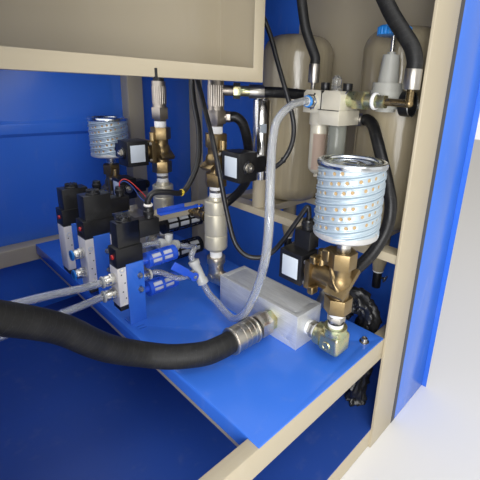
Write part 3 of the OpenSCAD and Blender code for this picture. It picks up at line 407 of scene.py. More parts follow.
@dataclass(frozen=True)
class Moulded(Finish):
    """Moulded plastic or rubber with a fine skin and pale scuffs."""

    scuff: Colour = (0.30, 0.30, 0.30)
    scuff_share: float = 0.12
    skin: float = 0.00005
    fine: float = 900.0

    def build(self, graph: Graph) -> Material:
        """Builds the moulding."""
        rubs = graph.grade(graph.noise(45.0, 7.0, rough=0.65), 0.50, 0.80)
        colour = graph.blend(rubs * self.scuff_share, self.colour, self.scuff)
        graph.relief(graph.noise(self.fine, 3.0), self.skin, 0.6)
        return graph.surface(Base_Color=colour, Roughness=rubs * 0.15 + self.roughness)


@dataclass(frozen=True)
class Clear(Finish):
    """Clear tube or bowl with a slightly cloudy wall."""

    ior: float = 1.18
    transmission: float = 0.9

    def build(self, graph: Graph) -> Material:
        """Builds the clear material."""
        clouds = graph.noise(90.0, 3.0)
        colour = graph.blend(clouds, shade(self.colour, 0.92), self.colour)
        return graph.surface(
            Base_Color=colour,
            Roughness=clouds * 0.03 + self.roughness,
            IOR=self.ior,
            Transmission_Weight=self.transmission,
        )


@dataclass(frozen=True)
class Wrapped(Finish):
    """Rubber hose cover with the marks of its wrapping; it needs the UV map of a cord."""

    pitch: float = 0.009
    depth: float = 0.0003
    dust: Colour = (0.15, 0.145, 0.14)
    dust_share: float = 0.12

    def build(self, graph: Graph) -> Material:
        """Builds the cover."""
        spot = graph.node("ShaderNodeUVMap", {}, "UV")
        along, turn = (graph.node("ShaderNodeSeparateXYZ", {0: spot}, axis) for axis in "XY")
        wrap = (along * (2 * math.pi / self.pitch) + turn * (2 * math.pi)).sine()
        weave = (along * (8 * math.pi / self.pitch) - turn * (16 * math.pi)).sine()
        seam = graph.grade(wrap, 0.90, 1.0)
        rubs = graph.grade(graph.noise(36.0, 7.0, rough=0.7), 0.48, 0.78)
        specks = graph.grade(graph.noise(620.0, 1.0), 0.70, 0.78)
        dusty = rubs * self.dust_share + specks * 0.30 + seam * 0.05
        colour = graph.blend(dusty, self.colour, self.dust)
        fine = graph.noise(900.0, 3.0)
        graph.relief(weave * 0.12 + fine * 0.5 - seam * 0.5 + rubs * 0.3, self.depth, 0.7)
        return graph.surface(
            Base_Color=colour, Roughness=rubs * 0.2 + self.roughness, Specular_IOR_Level=0.32
        )


class Skin(Enum):
    """The finishes of the cabinet and what it holds."""

    CREAM = Paint("cream_coat", "frame_paint", (0.46, 0.40, 0.285), 0.38)
    VESSEL = Rolled("vessel_coat", "frame_paint", (0.40, 0.34, 0.225), 0.22)
    BLUE = Paint("blue_coat", "blue_paint", (0.045, 0.180, 0.74), 0.22, dust_share=0.06)
    NAVY = Paint("navy_coat", "blue_paint", (0.020, 0.070, 0.34), 0.42, dust_share=0.05)
    WHITE = Paint("white_enamel", "white_paint", (0.90, 0.86, 0.80), 0.35)
    SILENCER = Plated(
        "silencer_sheet", "silencer_paint", (0.53, 0.63, 0.70), 0.36, (0.48, 0.54, 0.58), 0.3, 0.5
    )
    FELT = Moulded("tan_felt", "silencer_paint", (0.50, 0.34, 0.17), 0.9)
    SEAM = Moulded("seam_shadow", "silencer_paint", (0.24, 0.31, 0.37), 0.6)
    RIM = Plated(
        "bright_rim", "silencer_paint", (0.66, 0.70, 0.74), 0.20, (0.45, 0.55, 0.68), 0.3
    )
    CAP = Plated(
        "dull_cap", "silencer_paint", (0.62, 0.62, 0.61), 0.48, (0.50, 0.48, 0.44), 0.3, 0.5
    )
    GREY_CAST = Paint("grey_casting", "grey_cast", (0.42, 0.42, 0.38), 0.42, peel=0.0002)
    CHAMPAGNE = Plated(
        "champagne_plate", "nickel_plate", (0.60, 0.56, 0.44), 0.40, stain_share=0.2, metallic=0.5
    )
    HEAD = Plated(
        "head_coat", "nickel_plate", (0.62, 0.58, 0.47), 0.36, stain_share=0.15, metallic=0.2
    )
    ZINC = Plated("zinc_plate", "zinc_steel", (0.46, 0.44, 0.40), 0.34)
    NICKEL = Plated("nickel_plate", "fitting_nickel", (0.68, 0.67, 0.63), 0.28, stain_share=0.15)
    CRIMP = Plated("crimp_plate", "zinc_steel", (0.37, 0.33, 0.285), 0.40, stain_share=0.2)
    CHROMATE = Iridescent("yellow_chromate", "yellow_zinc", (0.58, 0.52, 0.30), 0.30)
    ROSE_ZINC = Iridescent(
        "rose_chromate",
        "zinc_steel",
        (0.60, 0.52, 0.44),
        0.30,
        ((0.46, 0.42, 0.34), (0.56, 0.56, 0.48), (0.66, 0.46, 0.38)),
    )
    BRASS = CastBrass("cast_brass", "cast_brass", (0.29, 0.213, 0.107), 0.36)
    TURNED_BRASS = CastBrass(
        "turned_brass", "cast_brass", (0.26, 0.197, 0.105), 0.28, grain_depth=0.00005
    )
    ALUMINIUM = MilledMetal("milled_bar", "milled_aluminium", (0.74, 0.76, 0.78), 0.36)
    POLISHED = Plated(
        "polished_steel", "polished_steel", (0.72, 0.71, 0.68), 0.16, stain_share=0.1,
        grain=(6.0, 6.0, 0.4),
    )
    BLACK = Moulded("black_plastic", "black_plastic", (0.010, 0.010, 0.011), 0.36, scuff_share=0.05)
    HOSE = Wrapped("hose_cover", "black_rubber", (0.012, 0.012, 0.012), 0.48)
    SMOOTH_HOSE = Wrapped(
        "smooth_hose_cover", "black_rubber", (0.009, 0.009, 0.010), 0.34, 0.02, 0.0001,
        dust_share=0.03,
    )
    CABLE = Moulded("cable_cover", "black_rubber", (0.010, 0.010, 0.011), 0.34, scuff_share=0.04)
    SHEET = Moulded("crumpled_sheet", "black_rubber", (0.012, 0.012, 0.013), 0.30, scuff_share=0.05)
    GASKET = Moulded("seal_strip", "black_rubber", (0.055, 0.055, 0.060), 0.6)
    TAPE = Moulded(
        "thread_tape", "white_tape", (0.86, 0.86, 0.85), 0.55, (0.6, 0.58, 0.5), 0.25, 0.0003, 600.0
    )
    LABEL = Moulded("blank_plate", "white_paint", (0.62, 0.68, 0.74), 0.40, (0.4, 0.45, 0.5), 0.2)
    ROSE_LABEL = Moulded("rose_plate", "white_paint", (0.62, 0.48, 0.385), 0.5, (0.5, 0.38, 0.3))
    YELLOW = Moulded("yellow_strap", "yellow_zinc", (0.70, 0.52, 0.04), 0.4)
    BLUE_PLASTIC = Moulded("blue_plastic", "blue_plastic", (0.02, 0.10, 0.66), 0.32)
    KNOB_BLUE = Moulded("knob_blue", "blue_plastic", (0.02, 0.24, 0.70), 0.34)
    PALE = Moulded("pale_plastic", "fitting_nickel", (0.52, 0.53, 0.51), 0.30, (0.4, 0.4, 0.38))
    RED = Moulded("red_plastic", "red_plastic", (0.62, 0.03, 0.03), 0.3)
    WINDOW = Moulded("muffler_media", "white_paint", (0.72, 0.74, 0.76), 0.6)
    SMOKED = Clear("smoked_bowl", "smoked_glass", (0.30, 0.31, 0.27), 0.12, 1.3, 0.35)
    DOME = Clear("clear_dome", "clear_dome", (0.86, 0.86, 0.83), 0.05, 1.35, 0.9)
    TUBE = Clear("clear_tube", "clear_tube", (0.90, 0.92, 0.94), 0.04, 1.42, 0.84)


# Mesh helpers and the dressing of the part's nodes.


@dataclass
class Zone:
    """A box, in millimetres, whose faces take another finish."""

    low: Point
    high: Point
    skin: Skin

    def holds(self, point: Vector) -> bool:
        """Tells whether a point in metres lies in the box."""
        return all(a * MM <= c <= b * MM for a, c, b in zip(self.low, point, self.high))


@dataclass
class Rod:
    """A round bar along X, in millimetres, whose faces take another finish."""

    start: Point
    radius: float
    length: float
    skin: Skin

    def holds(self, point: Vector) -> bool:
        """Tells whether a point in metres lies in the bar."""
        x, y, z = (c / MM - s for c, s in zip(point, self.start))
        return 0 <= x <= self.length and math.hypot(y, z) <= self.radius


def round_edges(
    mesh: Mesh, edges: Sequence[bmesh.types.BMEdge], offset: float, steps: int = 2
) -> None:
    """Rounds edges of a mesh in a few steps."""
    bmesh.ops.bevel(
        mesh, geom=list(edges), offset=offset, offset_type="OFFSET", segments=steps, profile=0.5,
        affect="EDGES", clamp_overlap=True, material=-1,
    )


def bridge(mesh: Mesh, rows: Sequence[Sequence[Vert]], closed: bool = True) -> None:
    """Joins rows of points, each to the next, with faces of four corners."""
    for low, high in zip(rows, rows[1:]):
        count = len(low)
        for k in range(count if closed else count - 1):
            n = (k + 1) % count
            mesh.faces.new((low[k], low[n], high[n], high[k]))


def heading(line: Sequence[Vector], index: int) -> Vector:
    """Returns the direction of a line at one of its points."""
    return (line[min(index + 1, len(line) - 1)] - line[max(index - 1, 0)]).normalized()


def around(count: int, radius: float) -> Iterator[tuple[float, float]]:
    """Yields points (x, y) that stand evenly on a circle."""
    for k in range(count):
        turn = 2 * math.pi * k / count
        yield radius * math.cos(turn), radius * math.sin(turn)


def finish_piece(
    name: str, mesh: Mesh, skins: Sequence[Skin], body: str = CABINET, sharp: float = 32.0
) -> bpy.types.Object:
    """Turns a bmesh into a piece that rides on a body.

    Args:
        name: The piece's name.
        mesh: The bmesh, which is freed.
        skins: The finishes of its material slots.
        body: The body it rides on.
        sharp: Edges over this angle, in degrees, stay sharp.

    Returns:
        The new object.
    """
    data = bpy.data.meshes.new(name)
    for face in mesh.faces:
        face.smooth = True
    mesh.to_mesh(data)
    mesh.free()
    data.set_sharp_from_angle(angle=math.radians(sharp))
    piece = bpy.data.objects.new(name, data)
    bpy.context.scene.collection.objects.link(piece)
    for skin in skins:
        data.materials.append(skin.value.material())
    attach(piece, body)
    LOG.info("%s: %d faces", name, len(data.polygons))
    return piece


class Dresser:
    """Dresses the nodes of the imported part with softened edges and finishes."""

    merge_m = 2e-6
    flat_degrees = 0.6
    bevel_from_degrees = 28.0

    def __init__(self, frame: dict[str, object]) -> None:
        self.nodes: dict[str, bpy.types.Object] = frame["nodes"]
        self.body_of: dict[str, str] = {
            node: body
            for body, members in frame["record"]["behaviour"]["bodies"].items()
            for node in members
        }

    def coat(self, node: str, skin: Skin) -> None:
        """Gives a node a finish as it is."""
        materials = self.nodes[node].data.materials
        materials.clear()
        materials.append(skin.value.material())

    def soften(
        self, node: str, skin: Skin, edge: float = 0.6, zones: Sequence[Zone | Rod] = (),
        moved: Callable[[Vector], Vector] | None = None,
    ) -> None:
        """Replaces a node with a copy whose edges are rounded.

        Args:
            node: The node's name.
            skin: Its finish.
            edge: The rounding in millimetres.
            zones: Boxes and bars with other finishes.
            moved: Gives the copy's points, in millimetres, where a shape is refined.
        """
        mesh = bmesh.new()
        mesh.from_mesh(self.nodes[node].data)
        bmesh.ops.remove_doubles(mesh, verts=mesh.verts, dist=self.merge_m)
        if moved:
            for vert in mesh.verts:
                vert.co = moved(vert.co / MM) * MM
        flat = math.radians(self.flat_degrees)
        bmesh.ops.dissolve_limit(mesh, angle_limit=flat, verts=mesh.verts, edges=mesh.edges)
        if edge > 0.0:
            limit = math.radians(self.bevel_from_degrees)
            edges = [e for e in mesh.edges if e.is_manifold and e.calc_face_angle(0.0) > limit]
            round_edges(mesh, edges, edge * MM)
        skins = [skin] + [zone.skin for zone in zones]
        for face in mesh.faces:
            middle = face.calc_center_median()
            for index, zone in enumerate(zones, 1):
                if zone.holds(middle):
                    face.material_index = index
        piece = finish_piece(f"{node}_dressed", mesh, skins, self.body_of[node])
        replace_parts(piece, node)


# Hoses, tubes and cables; their points repeat the part's routes, in millimetres.


def through(points: Sequence[Point], steps: int) -> list[Vector]:
    """Returns a smooth line through points, with steps pieces between two of them.

    The speed at a point is held to twice the stretch, so that a short stretch isn't overshot.
    """
    found: list[Vector] = []
    last = len(points) - 1
    at = [Vector(p) for p in points]
    for i in range(last):
        a, b, c, d = at[max(i - 1, 0)], at[i], at[i + 1], at[min(i + 2, last)]
        leave, arrive = (c - a) / 2, (d - b) / 2
        for speed in (leave, arrive):
            speed *= min(1.0, 2 * (c - b).length / speed.length)
        for k in range(steps):
            s = k / steps
            blend = s * s * (3 - 2 * s)
            curve = leave * (s * (1 - s) ** 2) - arrive * (s * s * (1 - s))
            found.append(b.lerp(c, blend) + curve)
    return found + [at[last]]


def wall(
    mesh: Mesh, line: Sequence[Vector], reach: Callable[[float, float], float], sides: int
) -> tuple[list[Vert], list[Vert]]:
    """Adds a round wall around a line, with metres and turns as its UV map.

    Args:
        mesh: The mesh that grows.
        line: The line's points in metres.
        reach: Gives the radius at a length and a turn.
        sides: The faces of one ring.

    Returns:
        The first and the last ring.
    """
    chart = mesh.loops.layers.uv.verify()
    side = (line[1] - line[0]).orthogonal()
    rings: list[list[Vert]] = []
    spans: list[float] = []
    for i, point in enumerate(line):
        ahead = heading(line, i)
        side = (side - ahead * side.dot(ahead)).normalized()
        other = ahead.cross(side)
        spans.append(spans[-1] + (point - line[i - 1]).length if i else 0.0)
        ring = []
        for k in range(sides):
            turn = 2 * math.pi * k / sides
            out = side * math.cos(turn) + other * math.sin(turn)
            ring.append(mesh.verts.new(point + out * reach(spans[-1], turn)))
        rings.append(ring)
    for i in range(len(rings) - 1):
        for k in range(sides):
            n = (k + 1) % sides
            face = mesh.faces.new((rings[i][k], rings[i][n], rings[i + 1][n], rings[i + 1][k]))
            places = ((i, k), (i, k + 1), (i + 1, k + 1), (i + 1, k))
            for loop, (row, step) in zip(face.loops, places):
                loop[chart].uv = (spans[row], step / sides)
    return rings[0], rings[-1]


@dataclass
class Cord:
    """A hose, tube or cable that the cabinet holds at both ends.

    Points are in millimetres, as in the part.
    """

    name: str
    diameter: float
    skin: Skin
    points: Sequence[Point]
    nodes: Sequence[str] = ()
    bore: float = 0.0
    crumple: float = 0.0
    sides: int = 24
    folds_per_metre: ClassVar[float] = 42.0
    fold_scales: ClassVar[tuple[float, float]] = (1.7, 4.1)
    fold_sink: ClassVar[float] = 0.35
    sharp_degrees: ClassVar[float] = 50.0
    steps: ClassVar[int] = 8
    clear_steps: ClassVar[int] = 16

    def reach(self, span: float, turn: float) -> float:
        """Returns the outer radius in metres at a length and a turn."""
        plain = self.diameter * MM / 2
        if not self.crumple:
            return plain
        spot = Vector((math.cos(turn), math.sin(turn), span * self.folds_per_metre))
        coarse, fine = (noise.noise(spot * scale) for scale in self.fold_scales)
        return plain + (coarse + 0.5 * fine - self.fold_sink) * self.crumple * MM

    def build(self) -> None:
        """Makes the cord, hollow where it has a bore."""
        steps = self.clear_steps if self.bore else self.steps
        line = [point * MM for point in through(self.points, steps)]
        mesh = bmesh.new()
        ends = wall(mesh, line, self.reach, self.sides)
        if self.bore:
            inner = wall(mesh, line, lambda span, turn: self.bore * MM / 2, self.sides)
            for rings in zip(ends, inner):
                bridge(mesh, rings)
        else:
            for ring in ends:
                mesh.faces.new(ring)
        bmesh.ops.recalc_face_normals(mesh, faces=mesh.faces)
        piece = finish_piece(self.name, mesh, (self.skin,), CABINET, self.sharp_degrees)
        if self.nodes:
            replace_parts(piece, *self.nodes)


PRESSURE = (
    (-36.3, -270, 270), (-50, -270, 270), (-74, -264, 268), (-98, -250, 268), (-121, -234, 270),
    (-145, -219, 278), (-170, -214, 293), (-192, -213, 310), (-212, -214, 330), (-229, -216, 350),
    (-248, -219, 370), (-282, -226, 398), (-322, -230, 424), (-352, -230, 430), (-368.7, -230, 430),
)
LOOP = (
    (221, -304.3, 592), (221, -312, 592), (214, -326, 585), (201, -342, 568), (189, -362, 538),
    (180, -381, 505), (174, -394, 473), (166, -396, 438), (153, -386, 401), (140, -368, 370),
    (132, -349.3, 345.7), (132, -344.7, 335.9),
)
SUPPLY = (
    (180, -397, 670.3), (180, -397, 680), (180, -390, 698), (179, -374, 718), (177, -352, 746),
    (174, -326, 790), (172, -305, 840), (171, -297, 885), (171, -297, 897.8),
)
FILTER = (
    (168, -234, 676.3), (168, -234, 686), (164, -226, 706), (156, -219, 732), (149, -213, 775),
    (143, -206, 830), (141, -202, 885), (141, -202, 897.8),
)
CROSS = (
    (148.5, -139.9, 628), (158, -147.3, 628), (178, -161, 628), (204, -178, 626),
    (230, -194, 623), (247.8, -214.2, 622), (253.7, -222.5, 622),
)
BRANCH = (
    (100.6, -106.6, 583), (107, -113, 583), (118, -119, 572), (131, -117, 545), (151, -102, 513),
    (168, -87, 479), (178, -68, 447), (178, -46, 419), (168, -28, 398), (152, -20, 384.5),
    (140, -20, 382), (129.6, -20, 382),
)
PILOT = (
    (140.7, -244, 618), (131, -244, 618), (97, -248, 611), (60, -258, 593), (28, -280, 569),
    (-2, -307, 542), (-24, -328, 510), (-35, -339, 476), (-35, -336, 435), (-27, -319, 390),
    (-14, -292, 343), (-2, -262, 299), (10, -225, 268), (20, -190, 261), (27, -158, 263),
    (28, -137, 268), (26.2, -127.6, 278.6), (24.1, -124.2, 287.6),
)
UPPER_TUBE = (
    (-136.3, -72.5, 326.5), (-146, -72.5, 326.5), (-172, -76, 330), (-230, -78, 338),
    (-320, -80, 345), (-405, -80, 350), (-417.7, -80, 350),
)
LOWER_TUBE = (
    (-136.3, -72.5, 300.5), (-146, -72.5, 300.5), (-179, -82, 304), (-235, -88, 306),
    (-320, -90, 306), (-405, -90, 306), (-417.7, -90, 306),
)
TEE_TUBE = (
    (24.3, -40, 335.9), (33, -39.6, 332.6), (41, -55, 333), (35, -82, 343), (20, -101, 347),
    (12, -104.8, 338.4), (13.9, -107.8, 330.4),
)
INLET_TUBE = (
    (-53.7, -72.5, 313.5), (-44, -72.5, 313.5), (-34, -80, 312), (-28, -96, 310),
    (-22, -111, 309), (-12, -115, 309), (-4.3, -115, 309),
)
MIDDLE_TUBE = (
    (-14.3, -42, 350.1), (-23, -42.4, 353.3), (-40, -36, 352), (-46, -12, 338), (-40, 18, 320),
    (-31, 44, 311), (-35, 53, 310.5), (-42.7, 53, 310.5),
)
FRONT_COIL = (
    (30, -153.7, 735), (30, -146, 735), (34, -118, 712), (37, -94, 660), (38, -112, 605),
    (34, -140, 551), (31, -162, 497), (34, -176, 440), (35, -196, 390), (42, -218, 370),
    (60, -240, 370), (74, -258, 390), (88, -282, 436), (96, -295, 462), (98, -298, 453),
    (98, -298, 443.3),
)
MIDDLE_COIL = (
    (22, -153.7, 850), (22, -146, 850), (60, -138, 830), (105, -150, 775), (128, -166, 725),
    (136, -180, 680), (139, -194, 645), (143, -208, 608), (145, -217, 575), (138, -220, 545),
    (126, -214, 520), (117, -198, 504), (117, -187.7, 504),
)
SPOOL = (
    (8, -153.7, 800), (8, -146, 800), (30, -126, 785), (52, -92, 755), (66, -52, 705),
    (76, -26, 655), (76, -30, 608), (70, -53, 556), (56, -69, 504), (36, -74, 470),
    (13, -78, 452), (-16, -80, 458), (-40, -76, 460), (-49, -72.5, 448), (-49, -72.5, 436.3),
)
LIP = (
    (-372, -239.6, 649.4), (-330, -239, 650), (-290, -238, 651), (-240, -239.6, 649.4),
    (-197, -238, 651), (-150, -239.6, 649.4), (-105, -238, 651), (-60, -239.6, 649.4),
)
SLEEVE = (
    (222, -240, 42.3), (222, -240, 58), (214, -268, 130), (208, -300, 215), (205, -322, 262),
    (205, -340, 281), (208, -356, 270), (214, -362, 235), (222, -356, 140), (226, -350, 58),
    (226, -350, 42.3),
)
RED_WIRE = (
    (-38, 53, 440), (-37, 52, 452), (-30, 48, 458), (-20, 42, 452), (-8, 34, 436), (0, 28, 424),
    (2, 24, 416),
)
BLUE_WIRE = (
    (-38, 55, 440), (-34, 56, 450), (-26, 50, 452), (-16, 40, 440), (-10, 32, 424), (-4, 26, 416),
    (0, 24, 412),
)


class Plumbing:
    """All hoses, clear tubes and cables of the bay."""

    cords: ClassVar[tuple[Cord, ...]] = (
        Cord("pressure_hose_cover", 34, Skin.HOSE, PRESSURE, ("pressure_hose",), sides=40),
        Cord("loop_hose_cover", 19, Skin.SMOOTH_HOSE, LOOP, ("loop_hose",), sides=32),
        Cord("supply_hose_cover", 22, Skin.HOSE, SUPPLY, ("supply_hose",), sides=32),
        Cord("filter_hose_cover", 16, Skin.HOSE, FILTER, ("filter_hose",)),
        Cord("cross_hose_cover", 19, Skin.SMOOTH_HOSE, CROSS, ("cross_hose",)),
        Cord("branch_hose_cover", 18, Skin.SMOOTH_HOSE, BRANCH, ("branch_hose",)),
        Cord("pilot_tube_wall", 12, Skin.TUBE, PILOT, ("pilot_tube",), 8.5, sides=32),
        Cord("upper_tube_wall", 12, Skin.TUBE, UPPER_TUBE, ("valve_tubes",), 8.5),
        Cord("lower_tube_wall", 12, Skin.TUBE, LOWER_TUBE, (), 8.5),
        Cord("tee_tube_wall", 10, Skin.TUBE, TEE_TUBE, (), 7),
        Cord("inlet_tube_wall", 10, Skin.TUBE, INLET_TUBE, (), 7),
        Cord("middle_tube_wall", 10, Skin.TUBE, MIDDLE_TUBE, (), 7),
        Cord("front_coil_lead", 8, Skin.CABLE, FRONT_COIL, ("front_coil_cable",)),
        Cord("middle_coil_lead", 8, Skin.CABLE, MIDDLE_COIL, ("middle_coil_cable",)),
        Cord("spool_lead", 10, Skin.CABLE, SPOOL, ("spool_cable",)),
        Cord("lip_lead", 8, Skin.CABLE, LIP, ("lip_cable",)),
        Cord("sleeve_cover", 42, Skin.SHEET, SLEEVE, ("cable_sleeve",), crumple=11.0, sides=48),
        Cord("red_wire", 1.8, Skin.RED, RED_WIRE, sides=10),
        Cord("blue_wire", 1.8, Skin.NAVY, BLUE_WIRE, sides=10),
    )

    def build(self) -> None:
        """Makes every cord."""
        for cord in self.cords:
            cord.build()


# Shapes that the scene adds.


@dataclass
class Stock:
    """Collects the shapes of one added piece; lengths are in millimetres."""

    name: str
    skins: Sequence[Skin]
    mesh: Mesh = field(default_factory=bmesh.new)
    upright: ClassVar[float] = 0.99
    merge: ClassVar[float] = 0.0005
    nut_edge: ClassVar[tuple[float, float]] = (0.8, 0.12)
    patch_steps: ClassVar[int] = 16
    patch_thick: ClassVar[float] = 0.4
    patch_sink: ClassVar[float] = 0.5

    def take(
        self, part: Mesh, at: Point, axis: Point = UP, skin: int = 0, turn: float = 0.0
    ) -> None:
        """Moves a shape into place and adds it.

        Args:
            part: The shape, drawn around its own Z axis in millimetres; it is freed.
            at: Where its origin goes.
            axis: Where its Z axis points.
            skin: The slot of its finish.
            turn: Its turn around its axis, in degrees.
        """
        ahead = Vector(axis).normalized()
        up = Vector(BACK if abs(ahead.z) > self.upright else UP)
        side = up.cross(ahead).normalized()
        facing = Matrix((side, ahead.cross(side), ahead)).transposed().to_4x4()
        spin = Matrix.Rotation(math.radians(turn), 4, "Z")
        place = Matrix.Translation(Vector(at) * MM) @ facing @ spin @ Matrix.Scale(MM, 4)
        bmesh.ops.transform(part, matrix=place, verts=part.verts)
        for face in part.faces:
            face.material_index = skin
        data = bpy.data.meshes.new("shape")
        part.to_mesh(data)
        part.free()
        self.mesh.from_mesh(data)
        bpy.data.meshes.remove(data)

    def lathe(
        self, at: Point, axis: Point, profile: Profile, skin: int = 0, sides: int = 48
    ) -> None:
        """Turns a profile of (radius, height) pairs around an axis."""
        part = bmesh.new()
        bridge(part, [
            [part.verts.new((x, y, height)) for x, y in around(sides, radius)]
            for radius, height in profile
        ])
        bmesh.ops.remove_doubles(part, verts=part.verts, dist=self.merge)
        bmesh.ops.recalc_face_normals(part, faces=part.faces)
        self.take(part, at, axis, skin)

    def ring(
        self, at: Point, axis: Point, radius: float, thick: float, skin: int = 0,
        sides: int = 64, tall: float | None = None,
    ) -> None:
        """Adds a round ring, or an oval one where tall is given."""
        half = thick / 2
        rise = (tall or thick) / 2
        steps = [2 * math.pi * k / 12 for k in range(13)]
        profile = [(radius + half * math.cos(a), rise * math.sin(a)) for a in steps]
        self.lathe(at, axis, profile, skin, sides)

    def slab(
        self, at: Point, size: Point, edge: float, skin: int = 0, turn: float = 0.0,
        steps: int = 2,
    ) -> None:
        """Adds a box around its middle, with edges that are rounded in a few steps."""
        part = bmesh.new()
        bmesh.ops.create_cube(part, size=1.0)
        bmesh.ops.scale(part, vec=size, verts=part.verts)
        round_edges(part, part.edges, edge, steps)
        self.take(part, at, UP, skin, turn)

    def hexagon(
        self, at: Point, axis: Point, across: float, tall: float, skin: int = 0,
        turn: float = 0.0,
    ) -> None:
        """Adds a nut with chamfered corners that stands on its point at."""
        part = bmesh.new()
        radius = across / math.sqrt(3.0)
        bmesh.ops.create_cone(
            part, cap_ends=True, segments=6, radius1=radius, radius2=radius, depth=tall
        )
        bmesh.ops.translate(part, vec=(0, 0, tall / 2), verts=part.verts)
        most, share = self.nut_edge
        round_edges(part, part.edges, min(most, tall * share))
        self.take(part, at, axis, skin, turn)

    def patch(
        self, at: Point, radius: float, low: float, high: float, start: float, end: float,
        skin: int = 0,
    ) -> None:
        """Adds a thin plate that lies around a vertical bar, between two compass angles."""
        part = bmesh.new()
        steps = self.patch_steps
        rows: tuple[list[Vert], ...] = ([], [])
        for k in range(steps + 1):
            turn = math.radians(start + (end - start) * k / steps)
            reach = radius - (self.patch_sink if k in (0, steps) else 0.0)
            for row, h in zip(rows, (low, high)):
                row.append(part.verts.new((reach * math.cos(turn), reach * math.sin(turn), h)))
        bridge(part, rows, closed=False)
        bmesh.ops.solidify(part, geom=list(part.faces), thickness=self.patch_thick)
        bmesh.ops.recalc_face_normals(part, faces=part.faces)
        self.take(part, at, UP, skin)

    def sweep(
        self, line: Sequence[Vector], section: Profile, out: Callable[[Vector], Vector],
        skin: int = 0,
    ) -> None:
        """Sweeps a closed section along a line.

        Args:
            line: The line's points in millimetres.
            section: Points (outward, sideways) of the section.
            out: Gives the outward direction at a point.
            skin: The slot of its finish.
        """
        part = bmesh.new()
        loops = []
        for i, point in enumerate(line):
            ahead = heading(line, i)
            outward = out(point)
            outward = (outward - ahead * outward.dot(ahead)).normalized()
            side = ahead.cross(outward)
            loops.append([part.verts.new(point + outward * a + side * b) for a, b in section])
        bridge(part, loops)
        part.faces.new(loops[0])
        part.faces.new(loops[-1])
        bmesh.ops.recalc_face_normals(part, faces=part.faces)
        self.take(part, (0, 0, 0), UP, skin)

    def build(self) -> bpy.types.Object:
        """Returns the finished piece."""
        return finish_piece(self.name, self.mesh, self.skins)


@dataclass(frozen=True)
class Seat:
    """A place with its own axes, for details that repeat at several valves."""

    origin: Point
    along: Point = RIGHT
    out: Point = BACK
    reach: float = 42.0

    def way(self, x: float, y: float, z: float) -> Point:
        """Returns a direction of the seat in the cabinet's axes."""
        return tuple(Vector(self.along) * x + Vector(self.out) * y + Vector((0, 0, z)))

    def at(self, x: float, y: float, z: float) -> Point:
        """Returns a point of the seat in the cabinet's millimetres."""
        return tuple(Vector(self.origin) + Vector(self.way(x, y, z)))


VALVES = (
    Seat((LINE_X, FRONT_LINE_Y, 324), reach=58.0),
    Seat((LINE_X, MIDDLE_LINE_Y, 457), out=FRONT),
    Seat((LINE_X, INNER_LINE_Y, 449), along=BACK, out=LEFT),
    Seat((68, 319, 335), out=FRONT),
)


